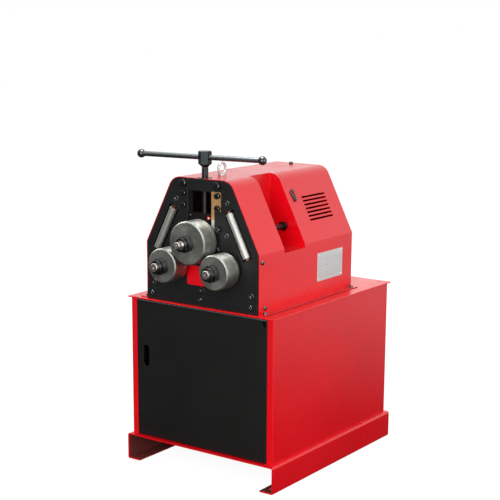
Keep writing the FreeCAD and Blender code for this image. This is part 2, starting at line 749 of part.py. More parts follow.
def bridge_block():
    """Block across the slots of both plates, with the seat of the spindle nut."""
    foot = s.plate_height - s.bridge_height
    tongue = s.slot_width / 2 - s.slide_clearance
    half = s.bridge_body_width / 2
    y0 = s.plate_thickness
    y1 = REAR_PLATE_Y
    body = new_body("BridgeBlock")
    plan = new_sketch(body, "XY", foot)
    polygon(plan, [(-tongue, 0), (tongue, 0), (tongue, y0), (half, y0), (half, y1),
                   (tongue, y1), (tongue, PLATES_DEPTH), (-tongue, PLATES_DEPTH),
                   (-tongue, y1), (-half, y1), (-half, y0), (-tongue, y0)])
    pad(body, plan, s.bridge_height)
    rebate = new_sketch(body, "XZ")
    polygon(rebate, rectangle(s.scale_left - s.free_clearance, foot - s.free_clearance,
                              half, SCALE_TOP + s.free_clearance))
    pocket(body, rebate, s.scale_rebate)
    seat = new_sketch(body, "XY", foot)
    circle(seat, 0, s.spindle_setback, s.nut_sleeve / 2)
    pocket(body, seat, s.bridge_height, backwards=True)
    eye = new_sketch(body, "XY", s.plate_height)
    circle(eye, 0, EYE_Y, s.eye_shank / 2)
    pocket(body, eye, s.eye_shank_length + s.free_clearance)
    drill(body, y0, s.plate_gap / 2,
          both_sides(s.bridge_bolt_span, s.plate_height - s.bridge_bolt_drop,
                     s.bridge_bolt_size))
    in_head(body)
    node(body, "bridge_block")


EYE_Y = REAR_PLATE_Y + s.plate_thickness / 2 + s.eye_setback


def spindle_nut():
    """Flanged sleeve in the bridge, threaded for the spindle."""
    bore = s.spindle_diameter / 2 + s.running_clearance
    foot = s.plate_height - s.bridge_height
    sleeve = s.nut_sleeve / 2
    flange = s.nut_flange / 2
    top = s.plate_height + s.nut_flange_height
    body = revolved("SpindleNut", [(bore, foot), (sleeve, foot), (sleeve, s.plate_height),
                                   (flange, s.plate_height), (flange, top), (bore, top)], "z")
    in_head(body, 0, s.spindle_setback)
    node(body, "spindle_nut")


def rails_and_gibs():
    """A bar between the plates on each side of the slot, and the gib that it carries."""
    inner = s.slot_width / 2
    top = s.plate_height - s.bridge_height
    foot = s.plate_height - s.rail_foot_drop
    for side, word in ((-1, "left"), (1, "right")):
        low = inner if side == 1 else -inner - s.rail_width
        rail = box(low, s.plate_thickness, foot, s.rail_width, s.plate_gap, top - foot)
        holes = [rod(s.column_bolt_size / 2, s.plate_gap / 2, s.column_span / 2 * side,
                     s.plate_thickness, height, "y") for height in COLUMN_HEIGHTS]
        node(in_head(cut(rail, *holes)), word + "_rail")
        low = inner - s.gib_width if side == 1 else -inner
        gib = box(low, s.gib_recess, s.slot_bottom, s.gib_width, PLATES_DEPTH - s.gib_recess,
                  top - s.slot_bottom)
        node(in_head(group([gib])), word + "_gib")


def bolt(across, head, size_of_thread, length, x, z, face=0):
    """Hexagon bolt that enters the front face along +Y."""
    y = size(face)
    return fuse(hexagon(across, head, x, y - head, z),
                rod(size_of_thread / 2, length, x, y, z, "y"))


def socket_screw(head_diameter, head, thread, length, x, z, face=0):
    """Socket-head screw along +Y with a six-sided drive in its head."""
    y = size(face)
    blank = fuse(rod(head_diameter / 2, head, x, y - head, z, "y"),
                 rod(thread / 2, length, x, y, z, "y"))
    return cut(blank, hexagon(head_diameter / 2, head / 2, x, y - head, z))


def foot_positions():
    """Places of the three screws in the foot bar."""
    return [(s.foot_screw_span / 2 * side, s.foot_screw_rise) for side in (-1, 0, 1)]


def head_screws():
    """Bolts of the bridge and the rails, and the screws in the plate and foot bar."""
    level = s.plate_height - s.bridge_bolt_drop
    reach = s.plate_thickness + s.plate_gap / 2 - s.free_clearance
    bridge = [bolt(s.bridge_bolt_across, s.bridge_bolt_head, s.bridge_bolt_size, reach,
                   s.bridge_bolt_span / 2 * side, level) for side in (-1, 1)]
    node(in_head(group(bridge)), "bridge_bolts")
    columns = []
    for side in (-1, 1):
        for height in COLUMN_HEIGHTS:
            if side == 1 and height.value > SCALE_STEP.value:
                continue
            columns.append(bolt(s.column_bolt_across, s.column_bolt_head, s.column_bolt_size,
                                reach, s.column_span / 2 * side, height))
    node(in_head(group(columns)), "rail_screws")
    face = s.scale_rebate - s.scale_thickness
    scale = [bolt(s.column_bolt_across, s.scale_bolt_head, s.column_bolt_size, reach - face,
                  s.column_span / 2, height, face) for height in COLUMN_HEIGHTS[:2]]
    node(in_head(group(scale)), "scale_bolts")
    plate = [socket_screw(s.flush_head, s.flush_head_height, s.flush_size,
                          s.plate_thickness, x, z, s.flush_head_height)
             for x, z in flush_positions()]
    foot = [socket_screw(s.foot_screw_head, s.foot_screw_head_height, s.foot_screw_size,
                         s.foot_screw_length, x, z, -s.foot_bar_thickness)
            for x, z in foot_positions()]
    node(in_head(group(plate + foot)), "plate_screws")


def head_bolt_places():
    """Places of the bolts that hold the two plates on the stand, front plate first."""
    places = []
    for y in (s.plate_thickness / 2, REAR_PLATE_Y + s.plate_thickness / 2):
        places += [(s.head_bolt_span / 2 * side, y) for side in (-1, 1)]
    return places


def head_bolts():
    """Hexagon bolts from below: through the rim and the top plate into the head plates."""
    bolts = []
    for index, (x, y) in enumerate(head_bolt_places()):
        seat = -s.top_sheet - s.cabinet_sheet if index < 2 else -s.top_sheet
        shank = rod(s.head_bolt_size / 2, s.head_bolt_grip - seat, x, y, seat)
        head = hexagon(s.head_bolt_across, s.head_bolt_head, x, y, seat - s.head_bolt_head,
                       "z")
        bolts.append(fuse(head, shank))
    node(in_head(group(bolts)), "head_bolts")


def tap_feet(body, places):
    """Tapped holes for the head bolts, from below."""
    sketch = new_sketch(body, "XY")
    for x, y in places:
        circle(sketch, x, y, s.head_bolt_size / 2)
    pocket(body, sketch, s.head_bolt_grip + s.free_clearance, backwards=True)


def foot_bar():
    """Flat bar along the foot of the front plate."""
    half = s.plate_width / 2
    bar = box(-half, -s.foot_bar_thickness, 0, s.plate_width, s.foot_bar_thickness,
              s.foot_bar_height)
    holes = [rod(s.foot_screw_size / 2, s.foot_bar_thickness, x, -s.foot_bar_thickness, z, "y")
             for x, z in foot_positions()]
    node(in_head(cut(bar, *holes)), "foot_bar")


def spacers():
    """Round spacers between the plates, one behind each flush screw."""
    tubes = []
    for x, z in flush_positions():
        tube = rod(s.spacer_diameter / 2, s.plate_gap, x, s.plate_thickness, z, "y")
        hole = rod(s.flush_size / 2, s.plate_gap / 2, x, s.plate_thickness, z, "y")
        tubes.append(cut(tube, hole))
    node(in_head(group(tubes)), "spacers")


def window_panel():
    """Red pan in the window: it closes the way to the shafts behind."""
    half = s.window_width / 2 - s.slide_clearance
    foot = s.window_sill + s.slide_clearance
    top = s.window_sill + s.window_height - s.slide_clearance
    body = new_body("WindowPanel")
    face = new_sketch(body, "XZ", s.window_recess)
    polygon(face, rectangle(-half, foot, half, top))
    pad(body, face, s.plate_thickness - s.window_recess, backwards=True)
    soften(body, s.window_corner - s.slide_clearance, lambda p, d: abs(d.y) > 0.9)
    wall = s.window_panel_sheet
    hollow = new_sketch(body, "XZ", s.plate_thickness)
    polygon(hollow, rectangle(wall * 3 - half, foot + wall * 3, half - wall * 3,
                              top - wall * 3))
    pocket(body, hollow, s.plate_thickness - s.window_recess - wall, backwards=True)
    in_head(body)
    node(body, "window_panel")


def scale_plate():
    """L-shaped brass plate beside the slot, which the pointer reads against."""
    y = s.scale_rebate - s.scale_thickness
    leg = s.scale_left + s.scale_leg_width
    body = new_body("ScalePlate")
    sketch = new_sketch(body, "XZ", y)
    polygon(sketch, [(s.scale_left, SCALE_BOTTOM), (leg, SCALE_BOTTOM), (leg, SCALE_STEP),
                     (s.scale_right, SCALE_STEP), (s.scale_right, SCALE_TOP),
                     (s.scale_left, SCALE_TOP)])
    pad(body, sketch, s.scale_thickness, backwards=True)
    drill(body, y, s.scale_thickness,
          [(s.column_span / 2, height, s.column_bolt_size) for height in COLUMN_HEIGHTS[:2]])
    in_head(body)
    node(body, "scale_plate")


# ---------------------------------------------------------------- guides

def guide_rods():
    """A ground rod in each slanted slot, with a collar at both ends."""
    collars = []
    gap = (s.guide_slot_length - s.guide_rod_length) / 2
    for side, word in ((-1, "left"), (1, "right")):
        ground = rod(s.guide_rod_diameter / 2, s.guide_rod_length)
        node(slanted(ground, side, s.guide_rod_length), word + "_guide_rod")
        for end in (-1, 1):
            collar = rod(s.rod_collar_diameter / 2, gap)
            shift = s.guide_rod_length + gap if end == 1 else gap * -1 - s.guide_rod_length
            collars.append(slanted(collar, side, gap, shift / 2))
    node(group(collars), "rod_collars")


def slanted(thing, side, length, shift=0):
    """Lay a cylinder along the slope, centred on the guide and shifted down it."""
    turn(thing, (0, 1, 0), arc_cosine(SLOPE_RISE / SLOPE_LENGTH) * -side)
    foot = length / 2 + shift
    x = (s.guide_centre + DOWN_X * foot) * side
    z = GUIDE_HEIGHT + DOWN_Z * foot
    return in_head(thing, x, s.guide_rod_depth, z)


def guide_screws():
    """Clamp screws with hexagon heads in the hood's recesses."""
    tip = GUIDE_SCREW_TIP
    length = s.guide_screw_reach - tip
    chamfer = s.roll_chamfer
    radius = s.guide_screw_size / 2
    for side, word in ((-1, "left"), (1, "right")):
        shank = revolved(word.capitalize() + "Shank",
                         [(0, 0), (radius - chamfer, 0), (radius, chamfer),
                          (radius, length), (0, length)])
        x = s.guide_centre * side
        place(shank, x, tip, GUIDE_HEIGHT)
        head = hexagon(s.guide_screw_head_across, s.guide_screw_head_height,
                       x, s.guide_screw_reach, GUIDE_HEIGHT)
        node(in_head(fuse(shank, head)), word + "_guide_screw")


# ---------------------------------------------------------------- rolls and shafts

ROLL_REAR = -s.roll_standoff
ROLL_SPLIT = ROLL_REAR - s.rear_ring_width
ROLL_FRONT = ROLL_SPLIT - s.roll_width
COLLAR_FRONT = ROLL_FRONT - s.collar_width
NUT_FRONT = COLLAR_FRONT - s.nut_height
FRONT_BEARING_Y = s.bearing_cover
REAR_BEARING_Y = PLATES_DEPTH - s.bearing_cover - s.bearing_width


def ring(name, diameter, rear, front, front_chamfer, rear_chamfer):
    """A bored ring between two planes, with a chamfer on both rims."""
    bore = s.roll_bore / 2 + s.running_clearance
    rim = diameter / 2
    return revolved(name, [(bore, front), (rim - front_chamfer, front),
                           (rim, front + front_chamfer), (rim, rear - rear_chamfer),
                           (rim - rear_chamfer, rear), (bore, rear)])


def nut(across, height, bore, y, angle):
    """Hexagon nut on the Y axis with turned corners on its outer face; y is that face."""
    cone = doc.addObject("Part::Cone", "Turned")
    turn(cone, (1, 0, 0), -90)
    bind(cone, Radius1=across / 2 * 0.96, Radius2=across / 2 * 0.96 + height, Height=height)
    place(cone, 0, y, 0)
    shape = doc.addObject("Part::Common", "Nut")
    shape.Base = hexagon(across, height, 0, y, 0)
    shape.Tool = cone
    return turn(cut(shape, rod(bore, height, 0, y, 0, "y")), (0, 1, 0), -angle)


def roll_set(word, x, z, diameter, stub, nut_angle, tail, gear=False):
    """The shaft of one roll with everything that turns with it."""
    label = word.capitalize()
    roll = ring(label + "Roll", diameter, ROLL_SPLIT, ROLL_FRONT, s.rim_chamfer,
                s.seam_chamfer)
    node(in_head(roll, x, 0, z), word + "_roll")
    rear = ring(label + "RearRing", diameter, ROLL_REAR, ROLL_SPLIT, s.seam_chamfer,
                s.roll_chamfer)
    node(in_head(rear, x, 0, z), word + "_rear_ring")
    bore = s.shaft_thread / 2 + s.running_clearance
    rim = s.collar_diameter / 2
    edge = s.collar_chamfer
    collar = revolved(label + "Collar", [(bore, COLLAR_FRONT), (rim - edge, COLLAR_FRONT),
                                         (rim, COLLAR_FRONT + edge), (rim, ROLL_FRONT),
                                         (bore, ROLL_FRONT)])
    node(in_head(collar, x, 0, z), word + "_collar")
    hexagon_nut = nut(s.nut_across, s.nut_height, bore, NUT_FRONT, nut_angle)
    node(in_head(hexagon_nut, x, 0, z), word + "_nut")
    shaft = roll_shaft(label + "Shaft", stub, tail, gear)
    node(in_head(group([shaft, roll_key()]), x, 0, z), word + "_shaft")


def roll_shaft(name, stub, tail, gear):
    """Stepped shaft: centre-drilled stub, thread, roll seat, shoulder and journal."""
    thread = s.shaft_thread / 2
    seat = s.roll_bore / 2
    shoulder = s.shaft_shoulder / 2
    journal = s.shaft_journal / 2
    front = NUT_FRONT - stub
    end = thread if gear else s.stub_diameter / 2
    edge = s.roll_chamfer
    drill_radius = s.centre_drill / 2
    shoulder_end = -s.free_clearance if gear else s.block_lip_recess - s.free_clearance
    profile = [(0, front + s.centre_drill), (drill_radius, front), (end - edge, front),
               (end, front + edge)]
    if not gear:
        profile += [(end, NUT_FRONT), (thread, NUT_FRONT)]
    profile += [(thread, ROLL_FRONT), (seat, ROLL_FRONT), (seat, ROLL_REAR),
                (shoulder, ROLL_REAR), (shoulder, shoulder_end), (journal, shoulder_end)]
    if gear:
        step = PLATES_DEPTH
        profile += [(journal, step), (s.gear_bore / 2, step), (s.gear_bore / 2, tail)]
    else:
        profile += [(journal, tail)]
    body = revolved(name, profile + [(0, tail)])
    way = new_sketch(body, "XY", seat - s.key_depth)
    half = s.key_width / 2
    polygon(way, rectangle(-half, KEY_FRONT, half, KEY_FRONT + s.key_length))
    pocket(body, way, s.key_depth * 2, backwards=True)
    return body


KEY_FRONT = (ROLL_FRONT + ROLL_REAR) / 2 - s.key_length / 2


def roll_key():
    """Feather key in the roll seat; it stops below the roll's bore."""
    radius = s.roll_bore / 2
    half = s.key_width / 2
    floor = radius - s.key_depth
    height = root(radius * radius - half * half) - floor
    return box(-half, KEY_FRONT, floor, s.key_width, s.key_length, height)


def bearing(x, y, z):
    """Rolling bearing as a ring that fits the shaft and its seat."""
    outer = s.bearing_outer / 2
    inner = s.shaft_journal / 2 + s.running_clearance
    tube = cut(rod(outer, s.bearing_width, x, y, z, "y"),
               rod(inner, s.bearing_width, x, y, z, "y"))
    return tube


def lower_bearings():
    """Four bearings of the lower shafts, in the two plates."""
    rings = [bearing(s.lower_axis_span / 2 * side, y, s.lower_axis_height)
             for side in (-1, 1) for y in (FRONT_BEARING_Y, REAR_BEARING_Y)]
    node(in_head(group(rings)), "lower_bearings")


def upper_bearings():
    """Two bearings of the upper shaft, in the slide block."""
    rings = [bearing(0, y, s.upper_axis_height) for y in (FRONT_BEARING_Y, REAR_BEARING_Y)]
    node(in_head(group(rings)), "upper_bearings")


def rolls():
    """The three rolls on their shafts."""
    gear_tail = PLATES_DEPTH + s.gear_standoff + s.gear_width + s.gear_tail
    for side, word, angle in ((-1, "left", s.left_nut_angle), (1, "right", s.right_nut_angle)):
        roll_set(word, s.lower_axis_span / 2 * side, s.lower_axis_height,
                 s.lower_roll_diameter, s.lower_stub, angle, gear_tail, gear=True)
    upper_tail = REAR_BEARING_Y + s.bearing_width + s.free_clearance
    roll_set("upper", 0, s.upper_axis_height, s.upper_roll_diameter, s.upper_stub,
             s.upper_nut_angle, upper_tail)


# ---------------------------------------------------------------- slide, spindle and handle

def slide_block():
    """Block that carries the upper shaft: it runs between the gibs behind its front lip."""
    half = s.slot_width / 2 - s.gib_width - s.slide_clearance
    lip_half = s.block_lip_width / 2
    lip = s.block_lip_recess
    lip_back = s.block_lip_recess + s.block_lip
    body = new_body("SlideBlock")
    plan = new_sketch(body, "XY", s.block_foot)
    polygon(plan, [(-lip_half, lip), (lip_half, lip), (lip_half, lip_back), (half, lip_back),
                   (half, PLATES_DEPTH), (-half, PLATES_DEPTH), (-half, lip_back),
                   (-lip_half, lip_back)])
    pad(body, plan, s.block_height)
    step = new_sketch(body, "XY", s.block_foot + s.block_height)
    polygon(step, rectangle(-lip_half, lip, lip_half, lip_back))
    pocket(body, step, s.block_lip_drop)
    drill(body, 0, PLATES_DEPTH + s.free_clearance,
          [(size(0), s.upper_axis_height, s.bearing_lip - s.roll_standoff)])
    drill(body, FRONT_BEARING_Y, s.bearing_width,
          [(size(0), s.upper_axis_height, s.bearing_outer)])
    drill(body, REAR_BEARING_Y, s.bearing_width,
          [(size(0), s.upper_axis_height, s.bearing_outer)])
    socket = new_sketch(body, "XY", s.block_foot + s.block_height)
    circle(socket, 0, s.spindle_setback, s.spindle_diameter / 2 + s.running_clearance)
    pocket(body, socket, s.block_foot + s.block_height - SOCKET_FLOOR)
    in_head(body)
    node(body, "slide_block")


SOCKET_FLOOR = s.upper_axis_height + s.socket_floor_rise


def pointer():
    """Red triangular pointer on the lip of the slide block."""
    y = s.block_lip_recess - s.pointer_sheet
    body = new_body("Pointer")
    sketch = new_sketch(body, "XZ", y)
    rise = s.pointer_height / 2
    level = s.block_foot + s.block_height - s.block_lip_drop - s.pointer_drop
    polygon(sketch, [(s.pointer_base, level - rise), (s.pointer_base + s.pointer_reach, level),
                     (s.pointer_base, level + rise)])
    pad(body, sketch, s.pointer_sheet, backwards=True)
    in_head(body)
    node(body, "pointer")


BAR_LEVEL = HUB_BASE + s.hub_height / 2


def spindle_and_handle():
    """Screw spindle, its hub, and the tommy bar with a ball on each end."""
    radius = s.spindle_diameter / 2
    edge = s.hub_chamfer
    foot = SOCKET_FLOOR + s.slide_clearance
    top = HUB_BASE + s.hub_height / 2 - s.bar_diameter / 2 - edge
    spindle = revolved("Spindle", [(0, foot), (radius - edge, foot), (radius, foot + edge),
                                   (radius, top), (0, top)], "z")
    node(in_head(spindle, 0, s.spindle_setback), "spindle")
    node(in_head(hub(top, edge), 0, s.spindle_setback), "hub")
    length = s.bar_span - s.ball_diameter / 3
    bar = rod(s.bar_diameter / 2, length)
    node(aim(bar, s.bar_offset - length / 2, True), "tommy_bar")
    balls = []
    for side in (-1, 1):
        ball = doc.addObject("Part::Sphere", "Ball")
        bind(ball, Radius=s.ball_diameter / 2)
        aim(ball, s.bar_offset + s.bar_span / 2 * side)
        seat = rod(s.bar_diameter / 2, length)
        aim(seat, s.bar_offset - length / 2)
        balls.append(cut(ball, seat))
    node(in_head(group(balls), 0, s.spindle_setback), "bar_ends")


def hub(seat, edge):
    """Hexagonal hub with a tapered foot, bored for the spindle and for the tommy bar."""
    corner = s.hub_across / root(size(3))
    radius = s.spindle_diameter / 2
    crown = HUB_BASE + s.hub_height
    turned = revolved("Hub", [(radius, HUB_BASE - s.hub_cone), (corner, HUB_BASE),
                              (corner, crown - edge), (corner - edge * 1.7, crown),
                              (0, crown), (0, seat), (radius, seat)], "z")
    prism = hexagon(s.hub_across, s.hub_height + s.hub_cone, 0, 0, HUB_BASE - s.hub_cone, "z")
    turn(prism, (0, 0, 1), s.hub_angle)
    shape = doc.addObject("Part::Common", "HubBody")
    shape.Base = turned
    shape.Tool = prism
    hole = rod(s.bar_diameter / 2 + s.running_clearance, corner * 4)
    aim(hole, corner * -2)
    return cut(shape, hole)


def aim(thing, start, placed=False):
    """Lay a piece along the tommy bar's direction, starting at a distance from the hub."""
    angle = s.bar_angle
    turning = FreeCAD.Rotation(FreeCAD.Vector(0, 0, 1), angle.value)
    lying = FreeCAD.Rotation(FreeCAD.Vector(0, 1, 0), 90)
    thing.Placement = FreeCAD.Placement(FreeCAD.Vector(0, 0, 0), turning * lying)
    x = cosine(angle) * start
    y = sine(angle) * start
    if placed:
        return in_head(thing, x, s.spindle_setback + y, BAR_LEVEL)
    return place(thing, x, y, BAR_LEVEL)


# ---------------------------------------------------------------- drive

GEAR_Y = PLATES_DEPTH + s.gear_standoff


def gap_half_width(teeth, radius):
    """Half the angle of a tooth gap, in degrees, where the flank crosses a radius."""
    pitch_radius = s.gear_module * teeth / 2
    quarter = 90 / teeth
    at_pitch = involute(s.pressure_angle)
    angle = arc_cosine(pitch_radius * cosine(s.pressure_angle) / radius)
    play = s.backlash / pitch_radius * 90 / math.pi
    return quarter + (involute(angle) - at_pitch) * 180 / math.pi + play


def involute(degrees):
    """Involute function, in radians."""
    return tangent(degrees) - degrees * math.pi / 180


def toothed(name, teeth, bore=None):
    """Spur gear blank with one gap of involute flanks, patterned round the rim."""
    tip = s.gear_module * (teeth + 2) / 2
    base = s.gear_module * teeth / 2 * cosine(s.pressure_angle)
    root_radius = s.gear_module * (teeth - 2.5) / 2
    body = new_body(name)
    blank = new_sketch(body, "XZ")
    circle(blank, 0, 0, tip)
    if bore is not None:
        circle(blank, 0, 0, bore / 2)
    pad(body, blank, s.gear_width, backwards=True)
    flank = []
    for radius in (base * 1.002, (base + tip) / 2, tip + s.free_clearance):
        angle = gap_half_width(teeth, radius)
        flank.append((radius * cosine(angle), radius * sine(angle)))
    narrow = gap_half_width(teeth, base * 1.002)
    flank.insert(0, (root_radius * cosine(narrow), root_radius * sine(narrow)))
    gap = new_sketch(body, "XZ")
    polygon(gap, flank + [(x, -y) for x, y in reversed(flank)])
    notch = pocket(body, gap, s.gear_width)
    around = body.newObject("PartDesign::PolarPattern", "Teeth")
    around.Originals = [notch]
    around.Axis = (origin_part(body, "Y_Axis"), [""])
    around.Angle = 360
    bind(around, Occurrences=teeth)
    body.Tip = around
    return body


def gears():
    """Pinion of the drive and the gear that it turns on each lower shaft."""
    for side, word in ((-1, "left"), (1, "right")):
        gear = toothed(word.capitalize() + "Gear", s.gear_teeth,
                       s.gear_bore + s.running_clearance * 2)
        in_head(gear, s.lower_axis_span / 2 * side, GEAR_Y, s.lower_axis_height)
        node(gear, word + "_gear")
    pinion = toothed("Pinion", s.pinion_teeth)
    reach = s.gearbox_front + s.gearbox_foot - GEAR_Y
    shaft = rod(s.drive_shaft / 2, reach, along="y")
    pinion_shaft = fuse(pinion, shaft)
    node(in_head(pinion_shaft, 0, GEAR_Y, s.lower_axis_height), "pinion_shaft")


def gearbox():
    """Cast reducer housing on its feet, bored for the output shaft."""
    half = s.gearbox_width / 2
    body = new_body("Gearbox")
    face = new_sketch(body, "XZ", s.gearbox_front)
    polygon(face, rectangle(-half, 0, half, s.gearbox_height))
    pad(body, face, s.gearbox_length, backwards=True)
    soften(body, s.gearbox_corner, lambda p, d: abs(d.y) > 0.9
           and near(p.z, s.gearbox_height))
    feet = new_sketch(body, "XY")
    foot = s.gearbox_foot_width / 2
    polygon(feet, rectangle(-foot, s.gearbox_front + s.gearbox_corner, foot,
                            s.gearbox_front + s.gearbox_length - s.gearbox_corner))
    pad(body, feet, s.gearbox_foot)
    drill(body, s.gearbox_front, s.gearbox_foot + s.free_clearance,
          [(size(0), s.lower_axis_height, s.drive_shaft + s.running_clearance * 2)])
    in_head(body)
    node(body, "gearbox")


def motor():
    """Flanged motor with a terminal box, and its fan cover."""
    y0 = s.gearbox_front + s.gearbox_length
    y1 = y0 + s.motor_flange_width
    y2 = y1 + s.motor_length
    y3 = y2 + s.fan_cover_length
    radius = s.motor_diameter / 2
    z = s.lower_axis_height
    frame = revolved("MotorFrame", [(0, y0), (s.motor_flange / 2, y0),
                                    (s.motor_flange / 2, y1), (radius, y1), (radius, y2),
                                    (0, y2)])
    place(frame, 0, 0, z)
    terminal = box(-s.terminal_box_width / 2, y1 + s.motor_flange_width, z,
                   s.terminal_box_width, s.terminal_box_length,
                   radius + s.terminal_box_height)
    wide = s.fan_cover_diameter / 2
    wall = s.hood_sheet
    lap = s.motor_flange_width
    cover = revolved("FanCover", [(radius, y2 - lap), (wide, y2 - lap), (wide, y3 - wall * 2),
                                  (wide - wall * 2, y3), (0, y3), (0, y3 - wall),
                                  (wide - wall * 3, y3 - wall), (radius, y3 - wall * 3)])
    place(cover, 0, 0, z)
    node(in_head(group([fuse(frame, terminal), cover])), "motor")


# ---------------------------------------------------------------- hood and its fittings

HOOD_OFFSET = s.hood_gap + s.hood_sheet
HOOD_LIFT = s.hood_top_gap + s.hood_sheet


def hood():
    """Sheet hood: the head outline drawn back over the drive, recessed beside the slide."""
    body = new_body("Hood")
    sketch = new_sketch(body, "XZ")
    points = outline(HOOD_OFFSET, HOOD_LIFT)
    polygon(sketch, points)
    pad(body, sketch, s.hood_length, backwards=True)
    round_outline(body, points, s.plate_corner + s.hood_sheet, s.shoulder_corner)
    # The recess starts on the flat roof, a lip's width inside the rounded corner
    corner_reach = (s.plate_corner + s.hood_sheet) * -DOWN_Z / (DOWN_X + 1)
    inner = points[3][0] - corner_reach - s.recess_lip
    beyond = s.plate_width
    recess = new_sketch(body, "XZ", s.recess_front)
    polygon(recess, rectangle(inner, s.recess_floor, beyond, s.plate_height * 2))
    solid = mirror(body, pocket(body, recess, s.recess_length))
    doc.recompute()
    open_faces = [f"Face{index}" for index, face in enumerate(solid.Shape.Faces, start=1)
                  if near(face.CenterOfMass.y, 0, 1e-3) or near(face.CenterOfMass.z, 0, 1e-3)]
    shell = body.newObject("PartDesign::Thickness", "Sheet")
    shell.Base = (solid, open_faces)
    shell.Reversed = True
    shell.Mode = 0
    shell.Join = 1
    bind(shell, Value=s.hood_sheet)
    doc.recompute()
    half = s.plate_width / 2 + HOOD_OFFSET
    for side in (-1, 1):
        foot = new_sketch(body, "XY")
        inner = (half - s.hood_sheet / 2) * side
        outer = (half + s.hood_flange) * side
        polygon(foot, rectangle(inner, 0, outer, s.hood_length))
        pad(body, foot, s.hood_flange_sheet)
    notch = new_sketch(body, "XY", s.plate_height - s.bridge_height)
    circle(notch, 0, s.spindle_setback, s.spindle_notch)
    pocket(body, notch, s.plate_height, backwards=True)
    eye = new_sketch(body, "XY", s.plate_height - s.bridge_height)
    circle(eye, 0, EYE_Y, s.eye_shank / 2 + s.free_clearance)
    pocket(body, eye, s.plate_height, backwards=True)
    screw_ways = both_sides(s.guide_centre * 2, GUIDE_HEIGHT,
                            s.guide_screw_size + s.free_clearance * 4)
    drill(body, PLATES_DEPTH, s.recess_length / 2, screw_ways)
    vents(body)
    in_head(body)
    node(body, "hood")


def vents(body):
    """Rows of vent slots in both slopes, patterned down the slope."""
    drop = s.vent_pitch * SLOPE_RISE / SLOPE_LENGTH
    height = s.vent_width * SLOPE_RISE / SLOPE_LENGTH
    row = new_sketch(body, "YZ", -s.plate_width)
    obround(row, s.vent_front + s.vent_length / 2, s.plate_height - s.vent_drop,
            s.vent_length, height)
    slots = pocket(body, row, s.plate_width * 2, backwards=True)
    down = body.newObject("PartDesign::LinearPattern", "VentRow")
    down.Originals = [slots]
    down.Direction = (origin_part(body, "Z_Axis"), [""])
    down.Reversed = True
    down.setExpression("Length", (drop * (s.vent_count - 1)).text)
    bind(down, Occurrences=s.vent_count)
    body.Tip = down
    doc.recompute()


def hood_screws():
    """Button screws in the hood's sides and flanges and on its roof."""
    side_x = s.plate_width / 2 + HOOD_OFFSET
    head = s.hood_screw_height
    radius = s.hood_screw_head / 2
    upper = (s.side_screw_setback, s.side_screw_height)
    lower = (s.side_screw_setback + s.foot_screw_size * 2, s.hood_screw_inset)
    screws = []
    for side in (-1, 1):
        for y, z in (upper, lower):
            x = side_x if side == 1 else -side_x - head
            screws.append(rod(radius, head, x, y, z, "x"))
        for y in (s.hood_screw_inset, s.hood_length - s.hood_screw_inset):
            x = (side_x + s.flange_screw_offset) * side
            screws.append(rod(radius, head, x, y, s.hood_flange_sheet))
    top = s.plate_height + HOOD_LIFT
    roof_y = s.hood_length - s.roof_screw_inset
    screws.append(rod(s.roof_screw_head / 2, head, 0, roof_y, top))
    node(in_head(group(screws)), "hood_screws")


def eye_bolt():
    """Lifting eye screwed into the bridge through the hood's roof."""
    top = s.plate_height + HOOD_LIFT
    wire = (s.eye_outer - s.eye_hole) / 4
    centre = top + s.eye_collar_height - s.eye_sink + s.eye_outer / 2
    eye = doc.addObject("Part::Torus", "Eye")
    bind(eye, Radius1=(s.eye_outer + s.eye_hole) / 4, Radius2=wire)
    turn(eye, (0, 1, 0), 90)
    place(eye, 0, EYE_Y, centre)
    collar = rod(s.eye_collar / 2, s.eye_collar_height, 0, EYE_Y, top)
    shank_foot = s.plate_height - s.eye_shank_length
    shank = rod(s.eye_shank / 2, top - shank_foot, 0, EYE_Y, shank_foot)
    node(in_head(fuse(eye, collar, shank)), "eye_bolt")


def hook_plate():
    """Small black drop-shaped plate on the right slope, held by one screw."""
    wide = s.hook_wide / 2
    narrow = s.hook_narrow / 2
    foot = s.hook_length - narrow
    lean = (wide - narrow) / (foot - wide)
    rise = root(1 - lean * lean)
    body = new_body("HookPlate")
    web = new_sketch(body, "XY")
    polygon(web, [(wide + wide * lean, -wide * rise), (foot + narrow * lean, -narrow * rise),
                  (foot + narrow * lean, narrow * rise), (wide + wide * lean, wide * rise)])
    pad(body, web, s.hook_sheet)
    for x, radius in ((wide, wide), (foot, narrow)):
        disc = new_sketch(body, "XY")
        circle(disc, x, 0, radius)
        pad(body, disc, s.hook_sheet)
    eye = new_sketch(body, "XY")
    obround(eye, wide * 1.1, 0, wide * 1.3, wide * 0.8)
    pocket(body, eye, s.hook_sheet, backwards=True)
    plate = fuse(body, rod(narrow * 0.75, s.hook_sheet, foot, 0, s.hook_sheet))
    turn(plate, (0, 1, 0), arc_cosine(SLOPE_RUN / SLOPE_LENGTH))
    x = (s.plate_top_width / 2 + s.hook_drop * SLOPE_RUN / SLOPE_RISE
         + HOOD_OFFSET * SLOPE_LENGTH / SLOPE_RISE)
    node(in_head(plate, x, s.hook_setback, s.plate_height - s.hook_drop), "hook_plate")


# ---------------------------------------------------------------- build and write

def check_document():
    """Stop if an object failed or a sub-part's shape is missing or invalid."""
    doc.recompute()
    for item in doc.Objects:
        if "Invalid" in item.State or "Error" in item.State:
            raise ValueError(f"{item.Name} ({item.Label}) failed: {item.State}")
    for item in nodes:
        if item.Shape.isNull() or not item.Shape.isValid() or not item.Shape.Solids:
            raise ValueError(f"{item.Label} has no valid solid")


def write_parts():
    """Write each sub-part to a file named after it."""
    os.makedirs("parts", exist_ok=True)
    for item in nodes:
        item.Shape.exportStep(f"parts/{item.Label}.step")


